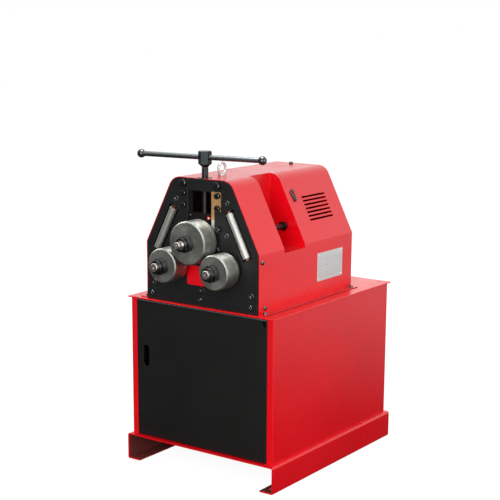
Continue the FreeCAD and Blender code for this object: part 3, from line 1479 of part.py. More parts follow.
for build in (base_frame, cabinet, top_plate, door, hinge_pins, door_catch, front_plate,
              rear_plate, bridge_block, spindle_nut, rails_and_gibs, head_screws, foot_bar,
              spacers, window_panel, scale_plate, guide_rods, guide_screws, rolls,
              lower_bearings, upper_bearings, slide_block, pointer, spindle_and_handle,
              head_bolts,
              gears, gearbox, motor, hood, hood_screws, eye_bolt, hook_plate):
    build()
check_document()
write_parts()
print(len(nodes), "sub-parts")
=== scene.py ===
"""Looks of the ring roller: materials, small details, floor, lights and camera.

Metres, +Z up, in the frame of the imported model: the origin is on the floor at the centre of
the floor bolts, and -Y is the operator's side.  New pieces are written in millimetres.
"""

import math

import bmesh
import bpy
from mathutils import Matrix, Vector


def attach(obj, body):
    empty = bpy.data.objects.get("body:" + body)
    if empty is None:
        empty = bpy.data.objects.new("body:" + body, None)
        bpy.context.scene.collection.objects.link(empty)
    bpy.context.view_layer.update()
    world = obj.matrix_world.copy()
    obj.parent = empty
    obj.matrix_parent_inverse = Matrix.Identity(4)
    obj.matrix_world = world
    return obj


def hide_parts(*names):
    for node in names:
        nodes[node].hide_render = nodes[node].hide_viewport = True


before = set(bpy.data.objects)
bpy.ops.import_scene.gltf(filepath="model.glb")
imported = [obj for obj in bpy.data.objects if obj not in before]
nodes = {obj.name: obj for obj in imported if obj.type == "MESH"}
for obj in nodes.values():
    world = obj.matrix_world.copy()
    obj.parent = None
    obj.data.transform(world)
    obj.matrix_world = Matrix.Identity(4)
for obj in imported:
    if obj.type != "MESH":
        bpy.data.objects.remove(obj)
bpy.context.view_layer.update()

MM = 0.001
HEAD = "stand_and_head"

# Places in millimetres
PLATE_FACE = -367
HEAD_FOOT = 603
SCALE_FACE = PLATE_FACE - 1.5
SPINDLE_AXIS = PLATE_FACE + 22
HOOD_SIDE = 239.1

ROD_SLANT = math.radians(27.6)


# ---------------------------------------------------------------- node helpers

class Nodes:
    """A node tree, with short calls for the nodes that repeat."""

    def __init__(self, tree):
        self.tree = tree

    def add(self, kind, **settings):
        """Add a node with its properties."""
        new = self.tree.nodes.new(kind)
        for name, value in settings.items():
            setattr(new, name, value)
        return new

    def feed(self, source, target):
        """Feed an input with another node's output or with a plain value."""
        if isinstance(source, bpy.types.NodeSocket):
            self.tree.links.new(source, target)
        else:
            target.default_value = source

    def calculate(self, operation, *values):
        """Result of a math node."""
        node = self.add("ShaderNodeMath", operation=operation)
        for value, socket in zip(values, node.inputs):
            self.feed(value, socket)
        return node.outputs["Value"]

    def ramp(self, source, low, high, start=0.0, end=1.0):
        """Remap a grey value between two limits."""
        node = self.add("ShaderNodeMapRange")
        for name, value in (("Value", source), ("From Min", low), ("From Max", high),
                            ("To Min", start), ("To Max", end)):
            self.feed(value, node.inputs[name])
        return node.outputs["Result"]

    def axes(self, vector):
        """The X, Y and Z of a vector."""
        split = self.add("ShaderNodeSeparateXYZ")
        self.feed(vector, split.inputs["Vector"])
        return list(split.outputs)

    def toward(self, vector, direction):
        """How far a vector points in a direction, from -1 to 1."""
        unit = self.add("ShaderNodeVectorMath", operation="NORMALIZE")
        self.feed(vector, unit.inputs[0])
        dot = self.add("ShaderNodeVectorMath", operation="DOT_PRODUCT")
        self.feed(unit.outputs["Vector"], dot.inputs[0])
        self.feed(direction, dot.inputs[1])
        return dot.outputs["Value"]

    def rays(self):
        """One for a ray from the camera, and one for a ray that was mirrored or let through."""
        path = self.add("ShaderNodeLightPath").outputs
        return path["Is Camera Ray"], self.calculate("MAXIMUM", path["Is Glossy Ray"],
                                                     path["Is Transmission Ray"])


class Shader(Nodes):
    """A material's nodes round its Principled shader."""

    def __init__(self, name, color, roughness, metallic=0.0, specular=0.5):
        self.material = bpy.data.materials.new(name)
        self.material.use_nodes = True
        super().__init__(self.material.node_tree)
        self.main = self.tree.nodes["Principled BSDF"]
        self.give("Base Color", (*color, 1))
        self.give("Roughness", roughness)
        self.give("Metallic", metallic)
        self.give("Specular IOR Level", specular)
        self.place = self.add("ShaderNodeTexCoord").outputs["Object"]

    def give(self, name, source):
        """Feed an input of the Principled shader."""
        self.feed(source, self.main.inputs[name])

    def noise(self, scale, detail=3.0, roughness=0.5, stretch=(1, 1, 1), slant=0.0):
        """Noise over the piece's own coordinates; the scale counts features per metre.

        The stretch works along the axes after a turn by the slant about Y.
        """
        mapping = self.add("ShaderNodeMapping")
        self.feed(self.place, mapping.inputs["Vector"])
        self.feed((0, slant, 0), mapping.inputs["Rotation"])
        self.feed(stretch, mapping.inputs["Scale"])
        texture = self.add("ShaderNodeTexNoise")
        self.feed(mapping.outputs["Vector"], texture.inputs["Vector"])
        self.feed(scale, texture.inputs["Scale"])
        self.feed(detail, texture.inputs["Detail"])
        self.feed(roughness, texture.inputs["Roughness"])
        return texture.outputs["Fac"]

    def patches(self, start=0.0, end=1.0, low=0.3, high=0.7, **noise):
        """Patches that drift between two grey values."""
        return self.ramp(self.noise(**noise), low, high, start, end)

    def inside(self, low, high, margin):
        """One within a box that is drawn in by a margin on every side, and zero outside."""
        near_x, near_y, near_z = (
            self.calculate("COMPARE", value, (start + end) / 2, (end - start) / 2 - margin)
            for value, start, end in zip(self.axes(self.place), low, high))
        return self.calculate("MULTIPLY", self.calculate("MULTIPLY", near_x, near_y), near_z)

    def blend(self, factor, first, second):
        """Mix two colours by a grey value."""
        mix = self.add("ShaderNodeMix", data_type="RGBA")
        self.feed(factor, mix.inputs[0])
        for value, socket in ((first, mix.inputs[6]), (second, mix.inputs[7])):
            self.feed((*value, 1) if isinstance(value, tuple) else value, socket)
        return mix.outputs[2]

    def bump(self, source, strength, distance, edge=0.0):
        """Bend the surface by a grey value; edge rounds the corners for the light only."""
        bump = self.add("ShaderNodeBump")
        self.feed(source, bump.inputs["Height"])
        self.feed(strength, bump.inputs["Strength"])
        self.feed(distance, bump.inputs["Distance"])
        if edge:
            bevel = self.add("ShaderNodeBevel", samples=8)
            self.feed(edge, bevel.inputs["Radius"])
            self.feed(bevel.outputs["Normal"], bump.inputs["Normal"])
        self.give("Normal", bump.outputs["Normal"])


def extent(name):
    """Lowest and highest corner of a CAD node, in metres."""
    node = nodes[name]
    corners = [node.matrix_world @ Vector(corner) for corner in node.bound_box]
    return [Vector(pick(corner[axis] for corner in corners) for axis in range(3))
            for pick in (min, max)]


def srgb(red, green, blue):
    """Linear colour from display values of 0 to 255."""
    def linear(value):
        value /= 255
        return value / 12.92 if value <= 0.04045 else ((value + 0.055) / 1.055) ** 2.4
    return linear(red), linear(green), linear(blue)


def scaled(color, share):
    """A colour times a share, up to full."""
    return tuple(min(1.0, value * share) for value in color)


# ---------------------------------------------------------------- materials

def powder_coat(name, color, roughness=0.3, grain=900.0, depth=0.0001, specular=0.5,
                edge=0.0008, shell=None, inner=None):
    """Powder coat: a fine orange-peel skin with faint drifts of tone.

    A shell is the extent and wall of a hollow sheet piece; its inside gets the inner colour as
    painted shade.
    """
    paint = Shader(name, color, roughness, specular=specular)
    drift = paint.patches(low=0.35, high=0.65, scale=3.0, detail=4.0)
    coat = paint.blend(drift, scaled(color, 0.9), color)
    # Painted shade: inside a shell the coat turns to the darker inner colour.
    if shell:
        coat = paint.blend(paint.inside(*shell), coat, inner)
    paint.give("Base Color", coat)
    paint.give("Roughness", paint.patches(roughness - 0.04, roughness + 0.05, scale=9.0,
                                          detail=5.0))
    paint.bump(paint.noise(grain, detail=2.0), strength=0.35, distance=depth, edge=edge)
    return paint.material


def turned(name, color, roughness, mottle=0.2, brushed=0.25, metallic=1.0):
    """Turned steel: grooves round the Y axis, with a mottled, oiled tone.

    The grooves spread the light across them on flanks that look up, and along them by the
    brushed share on the end faces.
    """
    steel = Shader(name, color, roughness, metallic=metallic)
    cloud = steel.patches(scale=30.0, detail=6.0, roughness=0.62)
    steel.give("Base Color", steel.blend(cloud, scaled(color, 1 - mottle),
                                         scaled(color, 1 + mottle * 0.4)))
    steel.give("Roughness", steel.patches(roughness - 0.05, roughness + 0.07, scale=70.0,
                                          detail=4.0))
    normal = steel.add("ShaderNodeNewGeometry").outputs["Normal"]
    _, along, up = steel.axes(normal)
    facing = steel.calculate("ABSOLUTE", along)
    flank_spread = steel.ramp(up, low=0.3, high=0.8, end=0.72)
    face_spread = steel.ramp(facing, low=0.3, high=0.7, end=brushed)
    steel.give("Anisotropic", steel.calculate("ADD", flank_spread, face_spread))
    steel.give("Anisotropic Rotation", steel.ramp(facing, low=0.3, high=0.7, start=0.25,
                                                  end=0.0))
    grooves = steel.add("ShaderNodeTangent", direction_type="RADIAL", axis="Y")
    steel.give("Tangent", grooves.outputs["Tangent"])
    steel.bump(steel.noise(600.0, detail=2.0, stretch=(0.2, 6.0, 0.2)), strength=0.08,
               distance=0.00004)
    return steel.material


def plain_metal(name, color, roughness, mottle=0.12, stretch=(1, 1, 1), slant=0.0,
                metallic=1.0):
    """Metal with a slight grain and uneven shine."""
    grain = {"stretch": stretch, "slant": slant}
    metal = Shader(name, color, roughness, metallic=metallic)
    cloud = metal.patches(scale=45.0, detail=5.0, roughness=0.6, **grain)
    metal.give("Base Color", metal.blend(cloud, scaled(color, 1 - mottle), color))
    metal.give("Roughness", metal.patches(roughness - 0.02, roughness + 0.03, scale=120.0,
                                          detail=4.0, roughness=0.6, **grain))
    metal.bump(metal.noise(900.0, detail=2.0, **grain), strength=0.02, distance=0.00001)
    return metal.material


def scale_metal():
    """Brushed brass, worn to bright metal at the foot of the leg."""
    worn_below, brass_above = 0.902, 0.909
    brass = Shader("scale_brass", srgb(222, 178, 128), 0.4, metallic=0.6)
    grain = brass.patches(scale=260.0, detail=4.0, roughness=0.6, stretch=(1, 1, 0.08))
    upper = brass.blend(grain, srgb(196, 146, 96), srgb(226, 180, 128))
    height = brass.axes(brass.place)[2]
    share = brass.ramp(height, worn_below, brass_above)
    brass.give("Base Color", brass.blend(share, srgb(222, 219, 212), upper))
    brass.bump(grain, strength=0.05, distance=0.00004)
    return brass.material


def ball_plastic():
    """Glossy black plastic with a faint swirl."""
    plastic = Shader("ball_plastic", srgb(22, 22, 22), 0.1, specular=0.7)
    plastic.give("Roughness", plastic.patches(start=0.07, end=0.14, scale=80.0))
    plastic.bump(plastic.noise(200.0, detail=2.0), strength=0.05, distance=0.0001)
    return plastic.material


RED = srgb(228, 0, 20)
oxide = plain_metal("black_oxide", srgb(70, 73, 75), 0.3)
# Lighter oxide on bolt and screw chamfers: painted highlight.
worn = plain_metal("oxide_chamfer_highlight", srgb(104, 107, 108), 0.28)
thread = plain_metal("thread_oxide", srgb(60, 60, 60), 0.42)
# Pale steel on screw chamfers and counterbore rims: painted highlight.
rim = plain_metal("pale_rim_highlight", srgb(168, 170, 170), 0.3)
bright = plain_metal("bright_steel", srgb(214, 212, 206), 0.26)
zinc = plain_metal("zinc", srgb(206, 206, 205), 0.42, metallic=0.3)


def dress(material, *names):
    """Give CAD nodes a material."""
    for name in names:
        slots = nodes[name].data.materials
        slots.clear()
        slots.append(material)


def dress_stand_and_hood():
    """Red and black powder coats."""
    dress(powder_coat("red_coat", RED, grain=700.0), "hood", "window_panel")
    dress(powder_coat("top_coat", srgb(242, 18, 28), grain=700.0), "top_plate")
    # The inner colours paint shade inside the hollow base frame and cabinet.
    for word, wall, inner in (("base_frame", 0.003, srgb(112, 52, 49)),
                              ("cabinet", 0.0015, srgb(40, 6, 8))):
        dress(powder_coat(word + "_coat", RED, grain=700.0, shell=(*extent(word), wall),
                          inner=inner), word)
    dress(powder_coat("door_coat", srgb(22, 22, 21), 0.5, grain=1400.0, depth=0.00035,
                      specular=0.25, edge=0.003), "door", "door_catch")
    dress(powder_coat("plate_coat", srgb(22, 23, 23), 0.4, depth=0.0002, specular=0.4,
                      edge=0.002),
          "front_plate", "rear_plate", "foot_bar", "bridge_block", "hook_plate")
    dress(powder_coat("pointer_coat", srgb(222, 14, 22)), "pointer")
    dress(powder_coat("housing_coat", srgb(40, 41, 43), 0.5, grain=800.0, depth=0.0003),
          "gearbox", "motor")


def dress_rolls():
    """Turned rolls, shafts, collars and nuts."""
    rolls = turned("roll_steel", srgb(156, 158, 150), 0.42, mottle=0.26, brushed=0.4,
                   metallic=0.96)
    collars = turned("collar_oxide", srgb(72, 72, 72), 0.26)
    shafts = turned("shaft_steel", srgb(214, 206, 200), 0.26, mottle=0.1)
    nut = plain_metal("nut_oxide", srgb(76, 77, 78), 0.24)
    for word in ("left", "right", "upper"):
        dress(rolls, word + "_roll", word + "_rear_ring")
        dress(collars, word + "_collar")
        dress(shafts, word + "_shaft")
        dress(nut, word + "_nut")


def dress_hardware():
    """Screws, rods, spindle, handle and the inner parts."""
    dress(oxide, "bridge_bolts", "plate_screws", "rail_screws", "scale_bolts",
          "left_guide_screw", "right_guide_screw", "spindle", "spindle_nut")
    dress(plain_metal("bar_oxide", srgb(122, 126, 128), 0.32, mottle=0.04), "tommy_bar")
    dress(plain_metal("hub_oxide", srgb(38, 41, 42), 0.34), "hub")
    dress(zinc, "head_bolts", "eye_bolt")
    for word, slant in (("left", ROD_SLANT), ("right", -ROD_SLANT)):
        dress(plain_metal(word + "_ground_rod", srgb(180, 179, 173), 0.55, mottle=0.18,
                          stretch=(1, 1, 0.03), slant=slant), word + "_guide_rod")
    dress(plain_metal("oiled_slide", srgb(60, 56, 52), 0.42), "slide_block", "left_gib",
          "right_gib", "left_rail", "right_rail")
    dress(plain_metal("inner_steel", srgb(120, 114, 104), 0.38), "spacers", "hinge_pins",
          "left_gear", "right_gear", "pinion_shaft", "lower_bearings", "upper_bearings")
    dress(plain_metal("copper", srgb(110, 77, 62), 0.45), "rod_collars")
    dress(scale_metal(), "scale_plate")
    dress(ball_plastic(), "bar_ends")


# ---------------------------------------------------------------- mesh helpers

def hexagonal(across):
    """Radius of a hexagon's side as a function of the angle, for a ring."""
    def radius(angle):
        return across / 2 / math.cos((angle + math.pi / 6) % (math.pi / 3) - math.pi / 6)
    return radius


def side_panel(x, y0, y1, z0, z1):
    """Rectangle that looks along X, or against it when y0 is the larger."""
    return (x, y0, z0), (x, y1, z0), (x, y1, z1), (x, y0, z1)


def front_panel(y, x0, x1, z0, z1):
    """Rectangle that looks to the operator's side."""
    return (x0, y, z0), (x1, y, z0), (x1, y, z1), (x0, y, z1)


def add_piece(name, mesh, body, replaces=None):
    """Put a mesh in the scene and tie it to a body."""
    piece = bpy.data.objects.new(name, mesh)
    bpy.context.scene.collection.objects.link(piece)
    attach(piece, body)
    if replaces:
        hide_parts(replaces)


class Form:
    """Mesh of a new piece, gathered in millimetres."""

    def __init__(self):
        self.points, self.faces, self.groups = [], [], []

    def lathe(self, profile, at, axis=(0, -1, 0), turn=0.0, steps=48):
        """Turn (radius, height, group) points about an axis through a place.

        A radius or height may be a function of the angle; the group is the material of the
        band that ends at that point.
        """
        along = Vector(axis)
        side = Vector((0, 0, 1)) if abs(along.z) < 0.5 else Vector((0, 1, 0))
        across = along.cross(side)
        last = None
        for radius, height, group in profile:
            ring = []
            for step in range(steps):
                angle = 2 * math.pi * step / steps
                out = radius(angle) if callable(radius) else radius
                rise = height(angle) if callable(height) else height
                way = across * math.cos(angle + turn) + side * math.sin(angle + turn)
                if out == 0 and ring:
                    ring.append(ring[0])
                    continue
                ring.append(len(self.points))
                self.points.append((Vector(at) + along * rise + way * out) * MM)
            if last:
                for step in range(steps):
                    other = (step + 1) % steps
                    corners = [last[step], last[other], ring[other], ring[step]]
                    corners = list(dict.fromkeys(corners))
                    if len(corners) > 2:
                        self.faces.append(corners)
                        self.groups.append(group)
            last = ring

    def slab(self, outline, thickness, chamfer=0.0, group=0):
        """A flat piece on an outline of 3-D points, raised along the outline's normal."""
        corners = [Vector(point) for point in outline]
        middle = sum(corners, Vector()) / len(corners)
        normal = (corners[1] - corners[0]).cross(corners[2] - corners[1]).normalized()
        rings = [(0, 1), (thickness - chamfer, 1)]
        if chamfer:
            reach = (corners[0] - middle).length
            rings.append((thickness, 1 - chamfer * 1.4 / reach))
        count = len(corners)
        start = len(self.points)
        for rise, share in rings:
            self.points += [(middle + (point - middle) * share + normal * rise) * MM
                            for point in corners]
        for level in range(len(rings) - 1):
            first = start + level * count
            for step in range(count):
                other = (step + 1) % count
                self.faces.append([first + step, first + other, first + count + other,
                                   first + count + step])
                self.groups.append(group)
        self.faces.append(list(range(start, start + count))[::-1])
        self.faces.append([start + (len(rings) - 1) * count + step for step in range(count)])
        self.groups += [group, group]

    def finish(self, name, body, materials, replaces=None):
        """Make the object, smooth up to its sharp edges, and tie it to a body."""
        mesh = bpy.data.meshes.new(name)
        mesh.from_pydata(self.points, [], self.faces)
        for polygon, group in zip(mesh.polygons, self.groups):
            polygon.material_index = group
        form = bmesh.new()
        form.from_mesh(mesh)
        bmesh.ops.recalc_face_normals(form, faces=form.faces)
        form.to_mesh(mesh)
        form.free()
        mesh.shade_smooth()
        mesh.set_sharp_from_angle(angle=math.radians(32))
        for material in materials:
            mesh.materials.append(material)
        add_piece(name, mesh, body, replaces)


def hexagon_bolt(form, at, across, head, shank, turn, length=60):
    """Hexagon bolt that looks along -Y: a washer face, a head with turned corners, a shank."""
    radius = hexagonal(across)
    face, washer, dimple = across / 2 * 0.95, 0.8, 0.4

    def corner(angle):
        slope = 0.58
        return head - (radius(angle) - face) * slope

    form.lathe([(0, -length, 0), (shank / 2, -length, 0), (shank / 2, 0, 0),
                (face, 0, 0), (face, washer, 0), (radius, washer, 0), (radius, corner, 0),
                (face, head, 1), (across * 0.2, head, 0), (0, head - dimple, 0)],
               at, turn=turn)


def socket_bolt(form, at, diameter, head, shank, length, axis=(0, -1, 0)):
    """Socket-head screw: a chamfered round head with a six-sided hole."""
    radius, mouth, key = diameter / 2, diameter * 0.31, hexagonal(diameter * 0.5)
    chamfer, lead_in = 0.9, 0.5
    depth = head * 0.55 if head > 4 else head * 0.7
    form.lathe([(0, -length, 0), (shank / 2, -length, 0), (shank / 2, 0, 0), (radius, 0, 0),
                (radius, head - chamfer, 0), (radius - chamfer, head, 1), (mouth, head, 0),
                (key, head - lead_in, 1), (key, head - depth, 0), (0, head - depth, 0)],
               at, axis)


def button_screw(form, at, diameter, head, axis):
    """Button-head screw with a six-sided hole."""
    radius = diameter / 2
    key = hexagonal(diameter * 0.36)
    form.lathe([(0, 0, 0), (radius, 0, 0), (radius, head * 0.25, 0),
                (radius * 0.93, head * 0.52, 1), (radius * 0.76, head * 0.8, 0),
                (radius * 0.52, head, 0), (radius * 0.42, head, 0), (key, head * 0.9, 1),
                (key, head * 0.35, 0), (0, head * 0.3, 0)], at, axis)


# ---------------------------------------------------------------- small pieces

def on_plate(x, height, out=0):
    """Place on the front plate, by the height above the head's foot."""
    return x, PLATE_FACE - out, HEAD_FOOT + height


def make_hexagon_bolts():
    """Hexagon bolts of the bridge, the rails and the scale, with turned corners."""
    bridge_x, bridge_height, column_x = 70.5, 417, 72.3
    first, second, third, fourth = 383.5, 342.5, 271, 202.5
    bridge = Form()
    for side, turn in ((-1, 0.2), (1, 0.45)):
        hexagon_bolt(bridge, on_plate(bridge_x * side, bridge_height), across=24, head=14,
                     shank=16, turn=turn)
    bridge.finish("bridge_bolt_set", HEAD, [oxide, worn], "bridge_bolts")
    rails = Form()
    for side, height, turn in ((-1, first, 0.3), (-1, second, 0.1), (-1, third, 0.5),
                               (-1, fourth, 0.2), (1, third, 0.35), (1, fourth, 0.6)):
        hexagon_bolt(rails, on_plate(column_x * side, height), across=19, head=10, shank=12,
                     turn=turn)
    rails.finish("rail_bolt_set", HEAD, [oxide, worn], "rail_screws")
    scale = Form()
    for height, turn in ((first, 0.15), (second, 0.4)):
        hexagon_bolt(scale, on_plate(column_x, height, out=1.5), across=19, head=11, shank=12,
                     turn=turn)
    scale.finish("scale_bolt_set", HEAD, [oxide, worn], "scale_bolts")


def make_plate_screws():
    """Socket screws in counterbores of the front plate, with painted highlights on the rims,
    and those of the foot bar.
    """
    screws = Form()
    flush_screws, sunk = ((-107.4, 362), (107.4, 362), (-105.4, 253), (105.4, 253),
                          (-207.5, 61), (207.5, 61), (0, 56)), 10
    # Painted highlight: a pale ring round each counterbore.
    counterbore_rim = ((8.5, 9.2, 1), (9.3, 10.06, 1), (9.6, 10.0, 1))
    for x, height in flush_screws:
        at = on_plate(x, height, out=-sunk)
        socket_bolt(screws, at, diameter=16, head=9.8, shank=10, length=19)
        screws.lathe(counterbore_rim, at)
    bar_screws, bar_height, bar_face = (-209.6, 0, 209.6), 24, 5
    for x in bar_screws:
        socket_bolt(screws, on_plate(x, bar_height, out=bar_face), diameter=14, head=5,
                    shank=8, length=29)
    screws.finish("plate_screw_set", HEAD, [oxide, rim], "plate_screws")


def make_hood_screws():
    """Button screws of the hood's sides and flanges, and the socket screw of its roof."""
    flange_x, flange_top, roof = 251.1, 606, 1039.6
    screws = Form()
    for side in (-1, 1):
        for y, z in ((-349.5, 777), (-333.5, 622)):
            button_screw(screws, (HOOD_SIDE * side, y, z), diameter=15, head=6.5,
                         axis=(side, 0, 0))
        for y in (-348, 201.4):
            button_screw(screws, (flange_x * side, y, flange_top), diameter=15, head=6,
                         axis=(0, 0, 1))
    socket_bolt(screws, (0, 175.4, roof), diameter=14, head=9, shank=8, length=0.5,
                axis=(0, 0, 1))
    screws.finish("hood_screw_set", HEAD, [oxide, worn], "hood_screws")


def make_spindle():
    """Spindle with its trapezoidal thread as a real helix."""
    foot, top = 867.3, 1097.7
    pitch, steps = 4, 32
    crest, root = 12, 10.1
    centre = Vector((0, SPINDLE_AXIS, 0))
    profile = ((crest, 0), (crest, 1.35), (root, 2.0), (root, 3.35), (crest, pitch))
    form = Form()
    last = None
    for step in range(int((top - foot - pitch) / pitch * steps) + 1):
        angle = 2 * math.pi * step / steps
        way = Vector((math.cos(angle), math.sin(angle), 0))
        start = len(form.points)
        for radius, rise in profile:
            height = Vector((0, 0, foot + pitch * step / steps + rise))
            form.points.append((centre + way * radius + height) * MM)
        if last is not None:
            for band in range(len(profile) - 1):
                form.faces.append([last + band, start + band, start + band + 1,
                                   last + band + 1])
                form.groups.append(0)
        last = start
    form.lathe([(0, 0, 0), (root, 0, 0), (root, top - foot, 0), (0, top - foot, 0)],
               (0, SPINDLE_AXIS, foot), (0, 0, 1))
    form.finish("spindle_thread", "spindle", [thread], "spindle")


def make_data_plate():
    """Bare aluminium plate on the hood's right side, with ruled lines and four rivets."""
    rear, front, foot, top = 154, -12, 658.5, 759
    sheet, margin, line = 1.0, 15, 0.5
    plate = Form()
    plate.slab(side_panel(HOOD_SIDE, front, rear, foot, top), sheet, chamfer=0.3)
    rivet = ((2.6, sheet, 1), (2.4, 1.7, 1), (1.5, 2.3, 1), (0, 2.5, 1))
    for y in (front + 8, rear - 8):
        for z in (foot + 7.5, top - 7.5):
            plate.lathe(rivet, (HOOD_SIDE, y, z), axis=(1, 0, 0), steps=24)
    face, rise, row_pitch, rows = HOOD_SIDE + sheet, 0.05, 12, 6
    low = foot + 16
    high = low + (rows - 1) * row_pitch + line
    for row in range(rows):
        z = low + row * row_pitch
        plate.slab(side_panel(face, front + margin, rear - margin, z, z + line), rise, group=2)
    for y in (front + margin, front + 62, front + 108, rear - margin - line):
        plate.slab(side_panel(face, y, y + line, low, high), rise, group=2)
    aluminium = plain_metal("plate_aluminium", srgb(204, 204, 204), 0.45, stretch=(1, 0.1, 1))
    ink = powder_coat("engraved_line", srgb(120, 118, 116), 0.6, edge=0.0)
    plate.finish("data_plate", HEAD, [aluminium, bright, ink])


def make_hood_seal():
    """Dark strip under the hood's flanges: painted shade along the flange edges."""
    low, high = (corner / MM for corner in extent("hood"))
    inset, height = 4, 2
    shade_band = Form()
    for side, x in ((-1, low.x), (1, high.x)):
        ends = (low.y + inset, high.y - inset)[::side]
        shade_band.slab(side_panel(x, *ends, HEAD_FOOT, HEAD_FOOT + height), 0.6)
    # Painted shade: a dark red strip where the flange edges lie in shadow.
    dark = powder_coat("flange_shade_coat", srgb(96, 2, 12), 0.5, specular=0.3)
    shade_band.finish("flange_shade_strip", HEAD, [dark])


def make_door_details():
    """Painted highlight along the door's upper edge, and painted shade in a dark wedge at its
    upper right corner.
    """
    low, high = (corner / MM for corner in extent("door"))
    edge = Form()
    edge.slab(front_panel(low.y, low.x + 1, high.x - 1, high.z - 2.5, high.z), 0.5,
              chamfer=0.45)
    # Painted highlight: a pale grey strip on the door's upper edge.
    grey = powder_coat("door_top_highlight_coat", srgb(92, 96, 96), 0.4)
    edge.finish("door_top_highlight", "door", [grey])
    left, middle, right, top, foot = 259, 267, 273, 588, 568
    dark_wedge = Form()
    dark_wedge.slab([(left, low.y, top), (middle, low.y, foot), (right, low.y, foot),
               (right, low.y, top)], 0.8, chamfer=0.2)
    # Painted shade: a near-black wedge in the door's upper right corner, where a notch lies in
    # shadow.
    black = powder_coat("door_corner_shade_coat", srgb(2, 2, 2), 0.7, specular=0.05)
    dark_wedge.finish("door_corner_shade", "door", [black])


def make_scale_marks():
    """Engraved ticks and numbers of the scale."""
    ink = powder_coat("scale_ink", srgb(38, 30, 26), 0.6, edge=0.0)
    ticks, tick_pitch, tick_foot, edge = 26, 5, HEAD_FOOT + 262, 44.4
    long_tick, short_tick, line, rise = 5.0, 3.0, 0.5, 0.05
    marks = Form()
    for step in range(ticks):
        z = tick_foot + step * tick_pitch
        reach = short_tick if step % 2 else long_tick
        marks.slab(front_panel(SCALE_FACE, edge, edge + reach, z, z + line), rise)
    marks.finish("scale_ticks", HEAD, [ink])
    number_x, number_foot, number_height = 50, HEAD_FOOT + 260.5, 4.2
    for number in range(0, 121, 20):
        label = bpy.data.curves.new("scale_number", "FONT")
        label.body = str(number)
        label.size = number_height * MM
        label.extrude = 0.04 * MM
        writing = bpy.data.objects.new("scale_number", label)
        mesh = bpy.data.meshes.new_from_object(writing)
        bpy.data.objects.remove(writing)
        mesh.transform(Matrix.Translation(
            Vector((number_x, SCALE_FACE - 0.02, number_foot + number)) * MM)
            @ Matrix.Rotation(math.pi / 2, 4, "X"))
        mesh.materials.clear()
        mesh.materials.append(ink)
        add_piece(f"scale_number_{number}", mesh, HEAD)


def make_slide_details():
    """White field of the pointer, and the small screw in the slide's lip."""
    white = powder_coat("pointer_white", srgb(238, 236, 232), 0.4, edge=0.0)
    base, tip, half = 28, 36, 3.4
    y, z = PLATE_FACE + 1.0, HEAD_FOOT + 305.3
    field = Form()
    field.slab([(base, y, z - half), (tip, y, z), (base, y, z + half)], 0.1)
    field.finish("pointer_field", "slide", [white])
    pin = Form()
    socket_bolt(pin, on_plate(-47, 310, out=-2.5), diameter=5, head=1.6, shank=3, length=1)
    pin.finish("lip_screw", "slide", [rim, rim])


# ---------------------------------------------------------------- floor, light and camera

def make_floor():
    """Plain pale floor: white to the camera with a soft shadow, dim near the stand in metal."""
    gap, grey, brightness = 0.0005, 0.25, 0.92
    bright_side = (0.68, 0.73, 0)
    bpy.ops.mesh.primitive_plane_add(size=30, location=(0, 0, -gap))
    floor = bpy.context.object
    floor.name = "floor"
    material = bpy.data.materials.new("floor")
    material.use_nodes = True
    look = Nodes(material.node_tree)
    look.tree.nodes.remove(look.tree.nodes["Principled BSDF"])
    camera, mirrored = look.rays()
    diffuse = look.add("ShaderNodeBsdfDiffuse")
    look.feed((grey, grey, grey, 1), diffuse.inputs["Color"])
    glow = look.add("ShaderNodeEmission")
    look.feed(look.calculate("MULTIPLY", camera, brightness), glow.inputs["Strength"])
    seen = look.add("ShaderNodeAddShader")
    look.feed(diffuse.outputs["BSDF"], seen.inputs[0])
    look.feed(glow.outputs["Emission"], seen.inputs[1])
    place = look.add("ShaderNodeTexCoord").outputs["Object"]
    length = look.add("ShaderNodeVectorMath", operation="LENGTH")
    look.feed(place, length.inputs[0])
    # Painted shade in reflections: near the stand the floor's glow seen in metal is dimmer.
    around = look.ramp(length.outputs["Value"], low=0.7, high=3.4, start=0.06)
    sector = look.ramp(look.toward(place, bright_side), low=-0.9, high=0.5, start=0.12)
    shine = look.add("ShaderNodeEmission")
    look.feed(look.calculate("MULTIPLY", around, sector), shine.inputs["Strength"])
    both = look.add("ShaderNodeMixShader")
    look.feed(mirrored, both.inputs[0])
    look.feed(seen.outputs["Shader"], both.inputs[1])
    look.feed(shine.outputs["Emission"], both.inputs[2])
    look.feed(both.outputs["Shader"], look.tree.nodes["Material Output"].inputs["Surface"])
    floor.data.materials.append(material)


def make_world():
    """White studio: bright walls behind and to the right, dim on the operator's side."""
    ambient, bright_side = 0.45, (0.35, 0.7, 0.62)
    world = bpy.data.worlds.new("studio")
    bpy.context.scene.world = world
    world.use_nodes = True
    look = Nodes(world.node_tree)
    background = look.tree.nodes["Background"]
    look.feed((1, 1, 1, 1), background.inputs["Color"])
    camera, mirrored = look.rays()
    direction = look.add("ShaderNodeTexCoord").outputs["Generated"]
    facing = look.toward(direction, bright_side)
    wall = look.ramp(facing, low=-0.75, high=0.6, start=0.15, end=1.5)
    soft = look.calculate("SUBTRACT", look.calculate("SUBTRACT", 1, camera), mirrored)
    light = look.calculate("ADD", look.calculate("MULTIPLY", soft, ambient),
                           look.calculate("MULTIPLY", mirrored, wall))
    look.feed(look.calculate("ADD", camera, light), background.inputs["Strength"])


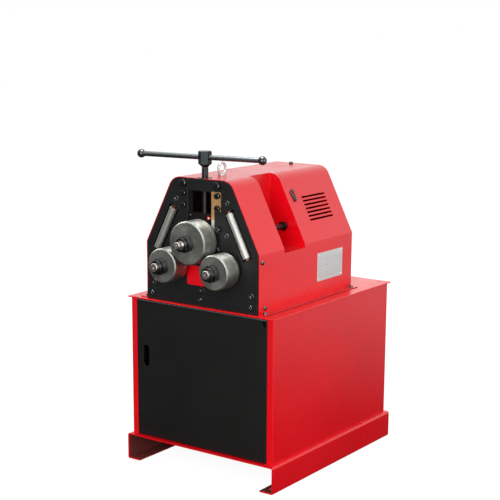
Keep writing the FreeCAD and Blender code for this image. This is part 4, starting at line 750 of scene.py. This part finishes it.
def area_light(name, place, target, size, power, diffuse=True, glossy=True):
    """A square softbox that looks at a point."""
    data = bpy.data.lights.new(name, "AREA")
    data.shape = "SQUARE"
    data.size = size
    data.energy = power
    light = bpy.data.objects.new(name, data)
    bpy.context.scene.collection.objects.link(light)
    light.location = place
    light.rotation_euler = (Vector(target) - Vector(place)).to_track_quat("-Z", "Y").to_euler()
    light.visible_diffuse = diffuse
    light.visible_glossy = glossy


def make_lights():
    """Large soft lamps: in front, on the right, behind, and two above."""
    area_light("key", (1.3, -3.7, 1.4), (0, -0.3, 0.65), size=2.4, power=100)
    area_light("fill", (2.6, -0.6, 1.25), (0.25, 0, 0.85), size=1.6, power=26)
    area_light("back", (-1.4, 3.4, 1.8), (0, 0.2, 0.6), size=2.4, power=62, glossy=False)
    area_light("strip", (0, -0.45, 3.2), (0, -0.45, 0.65), size=1.4, power=125, diffuse=False)
    area_light("top", (0.2, -0.2, 3.2), (0.1, 0, 0.65), size=1.4, power=6, glossy=False)


def make_camera():
    """Camera at the photograph's viewing angle; the image is 500 by 500."""
    image = 500
    focal_pixels = 1270.11
    axis_pixel = (239.70, 298.04)
    place = (2.57504, -3.71481, 1.56072)
    azimuth, elevation, roll = (math.radians(value) for value in (35.80, 12.41, 0.18))
    data = bpy.data.cameras.new("camera")
    data.sensor_width = 36
    data.lens = focal_pixels / image * data.sensor_width
    data.shift_x = (image / 2 - axis_pixel[0]) / image
    data.shift_y = (axis_pixel[1] - image / 2) / image
    camera = bpy.data.objects.new("camera", data)
    bpy.context.scene.collection.objects.link(camera)
    ahead = Vector((-math.sin(azimuth) * math.cos(elevation),
                    math.cos(azimuth) * math.cos(elevation), -math.sin(elevation)))
    level = Vector((math.cos(azimuth), math.sin(azimuth), 0))
    right = Matrix.Rotation(-roll, 3, ahead) @ level
    up = right.cross(ahead)
    camera.matrix_world = Matrix.Translation(place) @ Matrix(
        (right, up, -ahead)).transposed().to_4x4()
    bpy.context.scene.camera = camera


dress_stand_and_hood()
dress_rolls()
dress_hardware()
make_hexagon_bolts()
make_plate_screws()
make_hood_screws()
make_spindle()
make_data_plate()
make_hood_seal()
make_door_details()
make_scale_marks()
make_slide_details()
make_floor()
make_world()
make_lights()
make_camera()
bpy.context.scene.view_settings.view_transform = "Standard"
